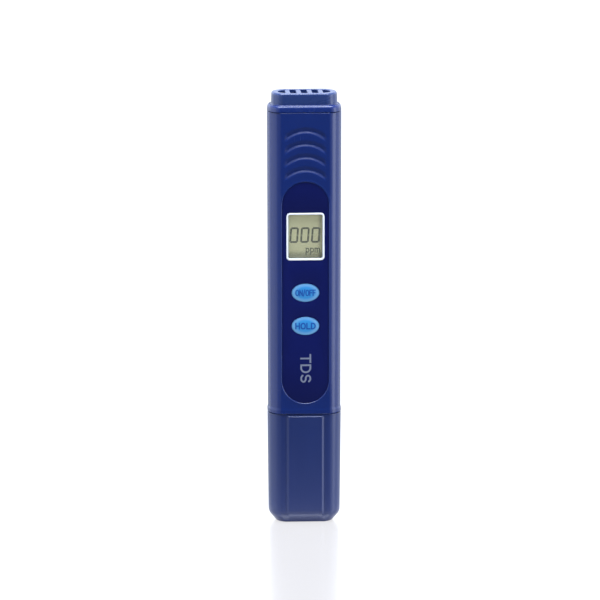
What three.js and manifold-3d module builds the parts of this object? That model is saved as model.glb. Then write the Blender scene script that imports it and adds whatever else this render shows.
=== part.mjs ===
// Pen-shaped digital water tester, which reads the dissolved solids in water from its conductivity.
// A two-shell housing carries a display, two buttons and a probe; a cap covers the probe at the lower end
// and a second, slotted cap closes the battery bay at the top.
//
// Frame: millimetres. +Z runs up the pen, the display faces -Y, and the origin is the centre of the base.

import * as THREE from "three";
import { mergeVertices } from "three/addons/utils/BufferGeometryUtils.js";
import Module from "manifold-3d";

const wasm = await Module();
wasm.setup();

// ---- driving dimensions ----

const HEIGHT = 148.5; // whole pen, standing on its probe cap
const WIDTH = 25; // housing at its widest, just under the battery cap
const DEPTH = 15.4; // housing, front face to back face
const WALL = 1.5; // moulded walls
const CORNER_X = 4.3; // housing corners are quarter ellipses: their reach across ...
const CORNER_Y = 6.9; // ... and their reach from front to back

const SEAM_GAP = 0.16; // visible joint between two mouldings
const SLIDE_GAP = 0.15; // round a piece that slides in an opening
const SKIN_GAP = 0.03; // under a glued-on label
const CLEAR = 1; // how far a cutter stands beyond what it cuts

const PROBE_SEAM_Z = 37.8; // where the probe cap meets the housing
const BATTERY_SEAM_Z = 142; // where the battery cap meets the housing
const SHELL_SPLIT_Y = 1; // parting plane of the front and rear shells
const HOUSING_FOOT_WIDTH = 24.4; // the housing narrows a little towards the probe

const CORNER_STEPS = 4; // half the segments in each quarter-ellipse corner
const ROUND_STEPS = 24; // segments round a small cylinder

const half = (size) => size / 2;
const FRONT_Y = -half(DEPTH);
const BACK_Y = half(DEPTH);

// ---- materials ----

const finish = (color, roughness, metalness = 0) =>
  new THREE.MeshStandardMaterial({ color, roughness, metalness });

const housingBlue = finish(0x1c2c6e, 0.35);
const labelNavy = finish(0x121c58, 0.5);
const buttonBlue = finish(0x2f93dc, 0.45);
const bezelWhite = finish(0xf0f2f4, 0.4);
const lensClear = finish(0xdfe8e4, 0.05);
const displayGreen = finish(0x9da386, 0.4);
const boardGreen = finish(0x1f5c38, 0.5);
const innerPlastic = finish(0x2a2c30, 0.6);
const sealRubber = finish(0x3a3a3c, 0.9);
const plainLabel = finish(0xb9bec8, 0.45);
const steel = finish(0xb8bbc0, 0.3, 1);
const titanium = finish(0x8f8d8a, 0.35, 1);

// ---- solids ----

// A three.js geometry as a manifold-3d solid, for joins and cuts.
function solid(geometry) {
  const bare = geometry.clone();
  bare.deleteAttribute("normal");
  bare.deleteAttribute("uv");
  const merged = mergeVertices(bare, 1e-4);
  const mesh = new wasm.Mesh({
    numProp: 3,
    vertProperties: new Float32Array(merged.attributes.position.array),
    triVerts: new Uint32Array(merged.index.array),
  });
  return new wasm.Manifold(mesh);
}

// A manifold-3d solid as a three.js geometry.
function geometryOf(shape) {
  const mesh = shape.getMesh();
  const geometry = new THREE.BufferGeometry();
  geometry.setAttribute("position", new THREE.BufferAttribute(mesh.vertProperties, 3));
  geometry.setIndex(new THREE.BufferAttribute(mesh.triVerts, 1));
  geometry.computeVertexNormals();
  return geometry;
}

const join = (...shapes) => shapes.reduce((a, b) => a.add(b));
const cut = (shape, ...tools) => tools.reduce((a, b) => a.subtract(b), shape);

// A box between two opposite corners.
function block([x0, y0, z0], [x1, y1, z1]) {
  const geometry = new THREE.BoxGeometry(x1 - x0, y1 - y0, z1 - z0);
  geometry.translate((x0 + x1) / 2, (y0 + y1) / 2, (z0 + z1) / 2);
  return solid(geometry);
}

// A round bar from one point along an axis, with an optional second radius at its far end.
function bar([x, y, z], axis, length, radius, farRadius = radius, steps = ROUND_STEPS) {
  const geometry = new THREE.CylinderGeometry(farRadius, radius, length, steps);
  geometry.translate(0, length / 2, 0);
  if (axis === "x") geometry.rotateZ(-Math.PI / 2);
  if (axis === "z") geometry.rotateX(Math.PI / 2);
  geometry.translate(x, y, z);
  return solid(geometry);
}

// A rectangle whose corners are quarter ellipses, counter-clockwise.
function roundedRectangle(halfX, halfY, cornerX, cornerY = cornerX) {
  const x = halfX - cornerX;
  const y = halfY - cornerY;
  const quarter = Math.PI / 2;
  const outline = new THREE.Shape();
  outline.moveTo(-x, -halfY);
  outline.lineTo(x, -halfY);
  outline.absellipse(x, -y, cornerX, cornerY, -quarter, 0);
  outline.lineTo(halfX, y);
  outline.absellipse(x, y, cornerX, cornerY, 0, quarter);
  outline.lineTo(-x, halfY);
  outline.absellipse(-x, y, cornerX, cornerY, quarter, 2 * quarter);
  outline.lineTo(-halfX, -y);
  outline.absellipse(-x, -y, cornerX, cornerY, 2 * quarter, 3 * quarter);
  return outline;
}

function ellipse(halfX, halfZ) {
  const outline = new THREE.Shape();
  outline.absellipse(0, 0, halfX, halfZ, 0, 2 * Math.PI);
  return outline;
}

// A stack of convex outlines, each { z, outline }, skinned and closed with a fan at both ends.
function loft(levels) {
  const rings = levels.map(({ z, outline }) => {
    const points = outline.getPoints(CORNER_STEPS);
    const distinct = points.filter((p, i) => p.distanceTo(points.at(i - 1)) > 1e-6);
    return distinct.map((p) => [p.x, p.y, z]);
  });
  const count = rings[0].length;
  const positions = [...rings.flat(), [0, 0, levels[0].z], [0, 0, levels.at(-1).z]];
  const bottom = positions.length - 2;
  const top = positions.length - 1;
  const last = (rings.length - 1) * count;
  const faces = [];
  for (let i = 0; i < count; i++) {
    const next = (i + 1) % count;
    for (let k = 0; k < rings.length - 1; k++) {
      const [a, b] = [k * count + i, k * count + next];
      faces.push(a, b, b + count, a, b + count, a + count);
    }
    faces.push(bottom, next, i, top, last + i, last + next);
  }
  const geometry = new THREE.BufferGeometry();
  geometry.setAttribute("position", new THREE.Float32BufferAttribute(positions.flat(), 3));
  geometry.setIndex(faces);
  return solid(geometry);
}

// An outline drawn in X and Z, as seen from the front, made solid between two depths.
function slab(outline, y0, y1, [x, z] = [0, 0]) {
  const geometry = new THREE.ExtrudeGeometry(outline, {
    depth: y1 - y0,
    bevelEnabled: false,
    curveSegments: 2 * CORNER_STEPS,
  });
  geometry.rotateX(Math.PI / 2); // outline Y becomes Z, and the depth runs towards -Y
  geometry.translate(x, y1, z);
  return solid(geometry);
}

// An upright prism of the pen's cross-section: half sizes and corners at its foot and at its head.
function sleeve(z0, z1, foot, head = foot) {
  return loft([
    { z: z0, outline: roundedRectangle(...foot) },
    { z: z1, outline: roundedRectangle(...head) },
  ]);
}

// ---- housing ----

const housingHalfWidth = (z) => {
  const share = (z - PROBE_SEAM_Z) / (BATTERY_SEAM_Z - PROBE_SEAM_Z);
  return half(HOUSING_FOOT_WIDTH) + share * half(WIDTH - HOUSING_FOOT_WIDTH);
};

const housingOutline = (z, swell = 0) =>
  roundedRectangle(housingHalfWidth(z) + swell, half(DEPTH) + swell / 3, CORNER_X, CORNER_Y);

// Display panel: a long recess with round ends that takes the face label.
const panel = { width: 16.2, bottom: 41.6, top: 118.3, depth: 0.5 };
panel.centre = (panel.bottom + panel.top) / 2;
const panelFloorY = FRONT_Y + panel.depth;
const label = { thickness: 0.28, gap: 0.15 };
const labelFrontY = panelFloorY - SKIN_GAP - label.thickness;

const displayWindow = { width: 13.05, height: 16.4, centre: 99.4, corner: 1.3 };
const buttonSize = { halfX: 4.7, halfZ: 3.12, travel: 0.5, proud: 0.3, bevel: 0.35, stem: 1.5 };
const flange = { grow: 0.6, thickness: 0.8 }; // keeps a button in its opening
const buttonZ = { power: 80, hold: 68.5 };

// Thumb grip: arcs cut as shallow ramps that end in a ledge facing up.
const grip = { radius: 9.3, topLedge: 135.4, pitch: 4.47, arcs: 4, ramp: 1.9, depth: 0.55, halfWidth: 6.9 };

function stadium(width, length) {
  const radius = half(width);
  const straight = half(length) - radius;
  const outline = new THREE.Shape();
  outline.absarc(0, straight, radius, 0, Math.PI);
  outline.absarc(0, -straight, radius, Math.PI, 2 * Math.PI);
  return outline;
}

function windowOutline(grow) {
  const { width, height, corner } = displayWindow;
  return roundedRectangle(half(width) + grow, half(height) + grow, corner + grow);
}

const buttonOutline = (grow) => ellipse(buttonSize.halfX + grow, buttonSize.halfZ + grow);

function gripCutters() {
  const { radius, ramp, depth, halfWidth } = grip;
  const profile = [
    [radius, FRONT_Y - CLEAR],
    [radius + ramp, FRONT_Y - CLEAR],
    [radius + ramp, FRONT_Y],
    [radius + depth / 2, FRONT_Y + depth],
    [radius, FRONT_Y],
    [radius, FRONT_Y - CLEAR],
  ].map(([r, y]) => new THREE.Vector2(r, y));
  const ring = solid(new THREE.LatheGeometry(profile, 3 * ROUND_STEPS));
  const fanTop = radius + ramp + CLEAR;
  const fan = block([-halfWidth, FRONT_Y - 2 * CLEAR, 0], [halfWidth, FRONT_Y + CLEAR, fanTop]);
  const arc = ring.intersect(fan);
  return Array.from({ length: grip.arcs }, (_, i) => {
    const z = grip.topLedge - i * grip.pitch - radius;
    return arc.translate([0, 0, z]);
  });
}

const boardScrewZ = [115.5, 56];
const board = { halfWidth: 9.6, bottom: 47, top: 121.5, frontY: -2.1, backY: -1.1 };
const boss = { radius: 2.1, hole: 0.95 }; // on the front shell: the board is screwed to it
const post = { radius: 1.2, x: 7.5, z: [60, 106] }; // on the rear shell: they hold the board down
const trimmerZ = 70;
const access = { radius: 1.7, coneRadius: 2.9, coneDepth: 0.6 }; // hole in the back over the trimmer
const rearLabel = { halfWidth: 7.4, bottom: 80, top: 112, corner: 1.5, recess: 0.4, thickness: 0.28 };

const cavityCorner = [3.2, 5.6];
const cavity = (z) => [housingHalfWidth(z) - WALL + 0.1, half(DEPTH) - WALL, ...cavityCorner];

function housingTube() {
  const lip = { swell: 0.28, start: 0.35, end: 0.8, top: 39.8 }; // a slight flare just above the probe cap
  const foot = PROBE_SEAM_Z + SEAM_GAP;
  const level = (z, swell = 0) => ({ z, outline: housingOutline(z, swell) });
  const outer = loft([
    level(foot, lip.swell / 2),
    level(foot + lip.start, lip.swell),
    level(foot + lip.end, lip.swell),
    level(lip.top),
    level(BATTERY_SEAM_Z),
  ]);
  const hollow = sleeve(foot - CLEAR, BATTERY_SEAM_Z + CLEAR, cavity(foot), cavity(BATTERY_SEAM_Z));
  return cut(outer, hollow);
}

function frontShell(tube) {
  const inFront = block([-WIDTH, -DEPTH, 0], [WIDTH, SHELL_SPLIT_Y - half(SEAM_GAP), HEIGHT]);
  const innerY = FRONT_Y + WALL;
  const panelOutline = stadium(panel.width, panel.top - panel.bottom);
  const panelRecess = slab(panelOutline, FRONT_Y - CLEAR, panelFloorY, [0, panel.centre]);
  const through = (outline, z) => slab(outline, FRONT_Y - CLEAR, innerY + CLEAR, [0, z]);
  const root = 0.2; // how deep a boss starts in the wall
  const bossLength = board.frontY - 0.1 - innerY;
  const bosses = boardScrewZ.map((z) => {
    const stand = bar([0, innerY - root, z], "y", bossLength + root, boss.radius);
    return cut(stand, bar([0, innerY, z], "y", bossLength + CLEAR, boss.hole));
  });
  const walled = cut(
    tube.intersect(inFront),
    panelRecess,
    ...gripCutters(),
    through(windowOutline(SLIDE_GAP), displayWindow.centre),
    through(buttonOutline(SLIDE_GAP), buttonZ.power),
    through(buttonOutline(SLIDE_GAP), buttonZ.hold),
  );
  return join(walled, ...bosses);
}

function rearShell(tube) {
  const behind = block([-WIDTH, SHELL_SPLIT_Y + half(SEAM_GAP), 0], [WIDTH, DEPTH, HEIGHT]);
  const innerY = BACK_Y - WALL;
  const labelHeight = rearLabel.top - rearLabel.bottom;
  const labelRecess = slab(
    roundedRectangle(rearLabel.halfWidth, half(labelHeight), rearLabel.corner),
    BACK_Y - rearLabel.recess,
    BACK_Y + CLEAR,
    [0, (rearLabel.top + rearLabel.bottom) / 2],
  );
  const hole = bar([0, innerY - CLEAR, trimmerZ], "y", WALL + 2 * CLEAR, access.radius);
  const { radius, coneRadius, coneDepth } = access;
  const cone = bar([0, BACK_Y - coneDepth, trimmerZ], "y", 2 * coneDepth, radius - 0.1, coneRadius);
  const posts = [-post.x, post.x].flatMap((x) =>
    post.z.map((z) => bar([x, board.backY + 0.15, z], "y", innerY - board.backY, post.radius)),
  );
  return join(cut(tube.intersect(behind), labelRecess, hole, cone), ...posts);
}

function faceLabel() {
  const { width, top, bottom, centre } = panel;
  const outline = stadium(width - 2 * label.gap, top - bottom - 2 * label.gap);
  const back = labelFrontY + label.thickness;
  const hole = (shape, z) => slab(shape, labelFrontY - CLEAR, back + CLEAR, [0, z]);
  return cut(
    slab(outline, labelFrontY, back, [0, centre]),
    hole(windowOutline(SLIDE_GAP), displayWindow.centre),
    hole(buttonOutline(SLIDE_GAP), buttonZ.power),
    hole(buttonOutline(SLIDE_GAP), buttonZ.hold),
  );
}

function rearLabelPlate() {
  const front = BACK_Y - rearLabel.recess + SKIN_GAP;
  const halfHeight = half(rearLabel.top - rearLabel.bottom) - label.gap;
  const outline = roundedRectangle(rearLabel.halfWidth - label.gap, halfHeight, rearLabel.corner - label.gap);
  return slab(outline, front, front + rearLabel.thickness, [0, (rearLabel.top + rearLabel.bottom) / 2]);
}

// ---- display ----

const display = {
  bezelBar: 0.6,
  bezelProud: 0.1,
  lensSunk: 0.1, // below the label's face
  lensThickness: 0.8,
  glassHalfX: 7.1,
  glassHalfZ: 9.3,
  glassFrontY: -6.05,
  glassBackY: -4.25,
};

function displayBezel() {
  const at = [0, displayWindow.centre];
  const front = labelFrontY - display.bezelProud;
  const back = display.glassFrontY - 0.1;
  const ring = slab(windowOutline(0), front, back, at);
  return cut(ring, slab(windowOutline(-display.bezelBar), front - CLEAR, back + CLEAR, at));
}

function displayLens() {
  const front = labelFrontY + display.lensSunk;
  const outline = windowOutline(-display.bezelBar - 0.05);
  return slab(outline, front, front + display.lensThickness, [0, displayWindow.centre]);
}

function displayGlass() {
  const { glassHalfX, glassHalfZ, glassFrontY, glassBackY } = display;
  const z = displayWindow.centre;
  return block([-glassHalfX, glassFrontY, z - glassHalfZ], [glassHalfX, glassBackY, z + glassHalfZ]);
}

// Open frame that holds the glass in place on the board.
function displayFrame() {
  const { glassHalfX, glassHalfZ, glassFrontY } = display;
  const z = displayWindow.centre;
  const [gap, rim] = [0.2, 1.1];
  const inner = [glassHalfX + gap, glassHalfZ + gap];
  const frameBlock = (grow, y0, y1) =>
    block([-inner[0] - grow, y0, z - inner[1] - grow], [inner[0] + grow, y1, z + inner[1] + grow]);
  const [front, back] = [glassFrontY + 0.1, board.frontY - 0.1];
  return cut(frameBlock(rim, front, back), frameBlock(0, front - CLEAR, back + CLEAR));
}

// Rubber strip of fine contacts between the glass and the board.
function displayConnector() {
  const glassFoot = displayWindow.centre - display.glassHalfZ;
  const [halfLength, bottom, top, gap] = [6.6, glassFoot + 0.2, glassFoot + 1.9, 0.05];
  return block([-halfLength, display.glassBackY + gap, bottom], [halfLength, board.frontY - gap, top]);
}

// ---- buttons and board ----

const switchTopY = -2.72;

// A button: its oval head shows through the panel, its flange keeps it in, and its stem meets the switch.
function button(z) {
  const { proud, bevel, travel, stem } = buttonSize;
  const faceY = labelFrontY - proud;
  const flangeY = FRONT_Y + WALL + SLIDE_GAP;
  const head = slab(buttonOutline(0), faceY + bevel, flangeY + 0.2, [0, z]);
  const brow = slab(buttonOutline(-bevel), faceY, faceY + bevel + 0.1, [0, z]);
  const collar = slab(buttonOutline(flange.grow), flangeY, flangeY + flange.thickness, [0, z]);
  const stemLength = switchTopY - travel - 0.1 - flangeY;
  return join(head, brow, collar, bar([0, flangeY, z], "y", stemLength, stem));
}

function pushSwitch(z) {
  const [size, height, plunger] = [2.3, 0.4, 1.1];
  const mount = board.frontY - 0.02;
  const base = block([-size, mount - height, z - size], [size, mount, z + size]);
  return join(base, bar([0, switchTopY, z], "y", mount - switchTopY, plunger));
}

function circuitBoard() {
  const { halfWidth, bottom, top, frontY, backY } = board;
  const plate = block([-halfWidth, frontY, bottom], [halfWidth, backY, top]);
  const holes = boardScrewZ.map((z) => bar([0, frontY - CLEAR, z], "y", 3, 1));
  const notch = { depth: 1.2, bottom: 86.2, top: 88.2 };
  const notches = [-halfWidth, halfWidth].map((x) =>
    block([x - notch.depth, frontY - CLEAR, notch.bottom], [x + notch.depth, backY + CLEAR, notch.top]),
  );
  return cut(plate, ...holes, ...notches);
}

function boardScrew(z) {
  const seat = board.backY + 0.05;
  const length = 4.2;
  const shank = bar([0, seat - length, z], "y", length + 0.1, 0.8, 0.8, 12);
  const head = bar([0, seat, z], "y", 1, 1.55, 1.2, 18);
  const [slotHalf, slotReach, slotFloor] = [0.2, 0.9, seat + 0.5];
  const cross = [
    block([-slotHalf, slotFloor, z - slotReach], [slotHalf, slotFloor + 2, z + slotReach]),
    block([-slotReach, slotFloor, z - slotHalf], [slotReach, slotFloor + 2, z + slotHalf]),
  ];
  return cut(join(shank, head), ...cross);
}

const behindBoard = board.backY + 0.02;

// The bare chip lies under a drop of black resin.
function chipDrop() {
  const z = 100;
  const profile = [
    [0, 0],
    [4.8, 0],
    [4.5, 0.7],
    [3.4, 1.2],
    [1.7, 1.5],
    [0, 1.6],
  ].map(([r, h]) => new THREE.Vector2(r, h));
  const geometry = new THREE.LatheGeometry(profile, ROUND_STEPS);
  geometry.translate(0, behindBoard, z);
  return solid(geometry);
}

// A metal can that lies along the board.
const quartzCrystal = () => bar([6.2, behindBoard + 1.05, 84], "z", 6.2, 1, 1, 16);

const filterCapacitor = () => block([-7.6, behindBoard, 83], [-4.2, behindBoard + 1.9, 86.2]);

function trimmerBody() {
  const [halfSize, height] = [2.2, 1.8];
  const y = behindBoard;
  const body = block([-halfSize, y, trimmerZ - halfSize], [halfSize, y + height, trimmerZ + halfSize]);
  return cut(body, bar([0, y + 0.7, trimmerZ], "y", 3, 1.6));
}

const trimmerScrewBase = behindBoard + 0.85;

// The slotted disc that a screwdriver turns through the hole in the rear shell.
function trimmerScrew() {
  const disc = bar([0, trimmerScrewBase, trimmerZ], "y", 1.5, 1.4);
  const slotFloor = trimmerScrewBase + 0.8;
  return cut(disc, block([-0.25, slotFloor, trimmerZ - 2], [0.25, slotFloor + 2, trimmerZ + 2]));
}

// ---- battery bay ----

const cell = { radius: 5.8, thickness: 5.4, z: 130.7, left: -5.3, right: 0.3 };
const contact = { inner: 5.9, outer: 6.2, halfDepth: 4, top: 135.5, tabFoot: 117 };
const holder = { halfWidth: 7.8, halfDepth: 5.9, floor: 123.4, floorTop: 124.7, top: 134, innerX: 6.5 };

function batteryHolder() {
  const { halfWidth, halfDepth, floor, floorTop, top, innerX } = holder;
  const body = block([-halfWidth, -halfDepth, floor], [halfWidth, halfDepth, top]);
  const pocket = block([-innerX, -halfDepth - CLEAR, floorTop], [innerX, halfDepth + CLEAR, top + CLEAR]);
  const tabX = (contact.inner + contact.outer) / 2;
  const tabSlots = [-tabX, tabX].map((x) =>
    block([x - 0.4, -1.4, floor - CLEAR], [x + 0.4, 1.4, floorTop + CLEAR]),
  );
  return cut(body, pocket, ...tabSlots);
}

// A button cell lying on its rim, with the narrower lid of its negative side.
function buttonCell(x) {
  const { radius, thickness, z } = cell;
  const [lid, step, sides] = [0.5, 1, 32];
  const can = bar([x + lid, 0, z], "x", thickness - lid, radius, radius, sides);
  return join(can, bar([x, 0, z], "x", thickness, radius - step, radius - step, sides));
}

// A plate beside a cell, with a tab down through the holder's floor to the board.
function contactPlate(x0, x1) {
  const { halfDepth, top, tabFoot } = contact;
  const plate = block([x0, -halfDepth, holder.floorTop + 0.4], [x1, halfDepth, top]);
  return join(plate, block([x0, board.backY + 0.1, tabFoot], [x1, -board.backY, holder.floorTop + 1]));
}

const positiveContact = () => contactPlate(contact.inner, contact.outer);

// The negative contact carries a sprung bump that presses on the cell's lid.
function negativeContact() {
  const bump = bar([-contact.outer + 0.2, 0, cell.z], "x", 0.55, 2.6, 1.4);
  return join(contactPlate(-contact.outer, -contact.inner), bump);
}

// ---- battery cap ----

const crown = { halfX: 11.25, halfY: 6.3, cornerX: 4.4, cornerY: 5.4, shoulderZ: 144.6, fillet: 0.8 };
// An oval well in the crown's top, crossed by ribs from front to back.
const slots = {
  count: 5,
  width: 2,
  pitch: 3.75,
  halfX: 8.95,
  halfY: 4.5,
  cornerX: 4.6,
  cornerY: 4.3,
  floor: 145.2,
};

function batteryCap() {
  const foot = BATTERY_SEAM_Z + SEAM_GAP;
  const top = housingHalfWidth(BATTERY_SEAM_Z);
  const round = 1.2; // shoulder fillet
  const shoulder = (z, inset) => ({
    z,
    outline: roundedRectangle(top - inset, half(DEPTH) - inset, CORNER_X - inset / 2, CORNER_Y - inset),
  });
  const ring = loft([
    shoulder(foot, 0),
    shoulder(crown.shoulderZ - round, 0.12),
    shoulder(crown.shoulderZ - 0.45 * round, 0.34),
    shoulder(crown.shoulderZ - 0.12 * round, 0.78),
    shoulder(crown.shoulderZ, round),
  ]);
  const crownLevel = (z, inset) => ({
    z,
    outline: roundedRectangle(
      crown.halfX - inset,
      crown.halfY - inset,
      crown.cornerX - inset,
      crown.cornerY - inset,
    ),
  });
  const tower = loft([
    crownLevel(crown.shoulderZ - 1, 0),
    crownLevel(HEIGHT - crown.fillet, 0),
    crownLevel(HEIGHT - 0.4 * crown.fillet, 0.2),
    crownLevel(HEIGHT, crown.fillet),
  ]);
  const mouth = cavity(BATTERY_SEAM_Z);
  const plug = [mouth[0] - 0.3, mouth[1] - 0.25, ...cavityCorner];
  const plugWall = 1;
  const skirtFoot = 136.9;
  const skirt = sleeve(skirtFoot, foot + 0.5, plug);
  const bore = plug.map((size) => size - plugWall);
  const underside = sleeve(skirtFoot - CLEAR, crown.shoulderZ - 1.4, bore);
  const mouthOfWell = [slots.halfX, slots.halfY, slots.cornerX, slots.cornerY];
  const ovalWell = sleeve(slots.floor, HEIGHT + CLEAR, mouthOfWell);
  const ribs = Array.from({ length: slots.count - 1 }, (_, i) => {
    const x = (i - half(slots.count) + 1) * slots.pitch;
    const halfRib = half(slots.pitch - slots.width);
    return block([x - halfRib, -DEPTH, 0], [x + halfRib, DEPTH, HEIGHT + 2 * CLEAR]);
  });
  return cut(join(ring, tower, skirt), underside, cut(ovalWell, ...ribs));
}

// ---- probe ----

const neck = { halfX: 10.4, halfY: 5.85, cornerX: 3.2, cornerY: 5.2, bottom: 24.5, top: 45.5 };
const snout = { halfX: 9.4, halfY: 5.1, cornerX: 3, cornerY: 4.4, bottom: 12, top: 23 };
const pin = { radius: 0.8, x: 4.6, bottom: 14.2, top: 33 };
const well = { halfX: 7.4, halfY: 3.8, corner: 2.4, roof: 21, septumTop: 27 };
const flowSlot = { halfWidth: 2.6, top: 19.6 };
const sensor = { radius: 1.2, bottom: 18.6, top: 30 };

const gasket = { bottom: 41, top: 42.6, outer: 0.22, depth: 0.8 };

const neckSize = (grow) => [
  neck.halfX + grow,
  neck.halfY + grow,
  neck.cornerX + grow / 2,
  neck.cornerY + grow / 2,
];

function probeHousing() {
  const outline = (size, grow = 0) =>
    roundedRectangle(size.halfX + grow, size.halfY + grow, size.cornerX + grow, size.cornerY + grow);
  const outer = loft([
    { z: snout.bottom, outline: outline(snout, -0.5) },
    { z: snout.bottom + 0.6, outline: outline(snout) },
    { z: snout.top, outline: outline(snout) },
    { z: neck.bottom, outline: outline(neck) },
    { z: neck.top, outline: outline(neck) },
  ]);
  const waterWell = sleeve(snout.bottom - CLEAR, well.roof, [well.halfX, well.halfY, well.corner]);
  const wall = 1.4;
  const dryWell = sleeve(well.septumTop, neck.top + CLEAR, [neck.halfX - wall, neck.halfY - wall, 2.4, 3.8]);
  const { halfWidth, top } = flowSlot;
  const flow = block([-halfWidth, -DEPTH, snout.bottom - CLEAR], [halfWidth, DEPTH, top]);
  const boreLength = well.septumTop - well.roof + 2 * CLEAR;
  const bore = (x, radius) => bar([x, 0, well.roof - CLEAR], "z", boreLength, radius + 0.12);
  const grooveBand = cut(
    sleeve(gasket.bottom - 0.1, gasket.top + 0.1, neckSize(1)),
    sleeve(gasket.bottom - CLEAR, gasket.top + CLEAR, neckSize(-gasket.depth)),
  );
  const bores = [bore(-pin.x, pin.radius), bore(pin.x, pin.radius), bore(0, sensor.radius)];
  return cut(outer, waterWell, dryWell, flow, ...bores, grooveBand);
}

// Silicone ring in the groove between the probe's collar and the shells.
function probeGasket() {
  const outer = sleeve(gasket.bottom, gasket.top, neckSize(gasket.outer));
  return cut(outer, sleeve(gasket.bottom - CLEAR, gasket.top + CLEAR, neckSize(-gasket.depth + 0.1)));
}

// An upright rod whose lower end tapers to a tip.
function rod(x, { radius, bottom, top }, tip, tipRadius, sides) {
  const shank = bar([x, 0, bottom + tip], "z", top - bottom - tip, radius, radius, sides);
  return join(shank, bar([x, 0, bottom], "z", tip + 0.01, tipRadius, radius, sides));
}

const probePin = (x) => rod(x, pin, 0.5, 0.45, 16);
const temperatureSensor = () => rod(0, sensor, 0.9, 0.5, 18);

// An insulated wire from a probe part up to the back of the board.
function lead(x, fromZ) {
  const radius = 0.45;
  const onBoardY = board.backY + radius + 0.1;
  const route = [
    [x, 0, fromZ + 0.3],
    [x, 0, fromZ + 5],
    [x, 0.3, board.bottom - 4],
    [x, onBoardY, board.bottom + 1.5],
    [x, onBoardY, board.bottom + 5],
  ].map((point) => new THREE.Vector3(...point));
  const section = new THREE.Shape();
  section.absarc(0, 0, radius, 0, 2 * Math.PI);
  const geometry = new THREE.ExtrudeGeometry(section, {
    steps: 14,
    curveSegments: 4,
    extrudePath: new THREE.CatmullRomCurve3(route),
  });
  return solid(geometry);
}

// ---- probe cap ----

const cap = {
  topHalfX: 12.38,
  footHalfX: 12,
  halfY: 7.35, // round the pads
  footHalfY: 7.2,
  floor: 1.9,
  bevelSide: 2.7,
  bevelFront: 1.9,
  bevelHeight: 3.2,
  innerHalfX: 10.75,
  innerHalfY: 6.15,
};
// A flat pad stands proud of the cap's front and back, from its mouth down to the bevel.
const pad = { halfWidth: 6.05, topY: 7.82, footY: 7.62, round: 0.35, end: 4.2, fade: 2.2, sunk: 1.25 };

function probeCap() {
  const { topHalfX, footHalfX, halfY, footHalfY, bevelSide, bevelFront, bevelHeight } = cap;
  // The share says how much of the foot's bevel is taken off.
  const level = (z, x, y, share = 0) => ({
    z,
    outline: roundedRectangle(
      x - share * bevelSide,
      y - share * bevelFront,
      CORNER_X - share * 1.4,
      CORNER_Y - 0.6 - share * bevelFront,
    ),
  });
  const rim = 0.3;
  const shell = loft([
    level(0, footHalfX, footHalfY, 1),
    level(0.8 * bevelHeight, footHalfX, footHalfY, 0.2),
    level(bevelHeight, footHalfX, footHalfY, 0.07),
    level(1.2 * bevelHeight, footHalfX, footHalfY),
    level(PROBE_SEAM_Z - rim, topHalfX, halfY),
    level(PROBE_SEAM_Z, topHalfX - 0.8 * rim, halfY - 0.8 * rim),
  ]);
  // One pad bar runs right through the cap, so that it shows at the front and at the back.
  const padLevel = (z, depth, inset = 0) => ({
    z,
    outline: roundedRectangle(pad.halfWidth - inset, depth - inset, pad.round),
  });
  const padBar = loft([
    padLevel(pad.end - pad.fade, pad.footY - pad.sunk),
    padLevel(pad.end, pad.footY),
    padLevel(PROBE_SEAM_Z - rim, pad.topY),
    padLevel(PROBE_SEAM_Z, pad.topY, 0.8 * rim),
  ]);
  const draft = 0.15;
  const { innerHalfX, innerHalfY } = cap;
  const bore = loft([
    { z: cap.floor, outline: roundedRectangle(innerHalfX - 2.6, innerHalfY - 1.5, 2, 3.2) },
    { z: 5.2, outline: roundedRectangle(innerHalfX - draft, innerHalfY - draft, 3.2, 4.6) },
    { z: PROBE_SEAM_Z + 1, outline: roundedRectangle(innerHalfX, innerHalfY, 3.3, 4.7) },
  ]);
  return cut(join(shell, padBar), bore);
}

// ---- assembly ----

const tube = housingTube();
const tester = new THREE.Group();

function place(name, shape, material) {
  const mesh = new THREE.Mesh(geometryOf(shape), material);
  mesh.name = name;
  tester.add(mesh);
}

place("front_shell", frontShell(tube), housingBlue);
place("rear_shell", rearShell(tube), housingBlue);
place("face_label", faceLabel(), labelNavy);
place("rear_label", rearLabelPlate(), plainLabel);

place("display_bezel", displayBezel(), bezelWhite);
place("display_lens", displayLens(), lensClear);
place("display_glass", displayGlass(), displayGreen);
place("display_frame", displayFrame(), innerPlastic);
place("display_connector", displayConnector(), sealRubber);

place("power_button", button(buttonZ.power), buttonBlue);
place("hold_button", button(buttonZ.hold), buttonBlue);
place("power_switch", pushSwitch(buttonZ.power), innerPlastic);
place("hold_switch", pushSwitch(buttonZ.hold), innerPlastic);

place("circuit_board", circuitBoard(), boardGreen);
place("chip_drop", chipDrop(), innerPlastic);
place("quartz_crystal", quartzCrystal(), steel);
place("filter_capacitor", filterCapacitor(), innerPlastic);
place("trimmer_body", trimmerBody(), innerPlastic);
place("trimmer_screw", trimmerScrew(), steel);
boardScrewZ.forEach((z, i) => place("board_screw_" + ["upper", "lower"][i], boardScrew(z), steel));

place("battery_holder", batteryHolder(), innerPlastic);
place("battery_cell_left", buttonCell(cell.left), steel);
place("battery_cell_right", buttonCell(cell.right), steel);
place("contact_positive", positiveContact(), steel);
place("contact_negative", negativeContact(), steel);
place("battery_cap", batteryCap(), housingBlue);

place("probe_housing", probeHousing(), innerPlastic);
place("probe_gasket", probeGasket(), sealRubber);
place("probe_pin_left", probePin(-pin.x), titanium);
place("probe_pin_right", probePin(pin.x), titanium);
place("temperature_sensor", temperatureSensor(), steel);
place("probe_lead_left", lead(-pin.x, pin.top), sealRubber);
place("probe_lead_right", lead(pin.x, pin.top), sealRubber);
place("sensor_lead", lead(0, sensor.top), sealRubber);
place("probe_cap", probeCap(), housingBlue);

export default tester;
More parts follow.
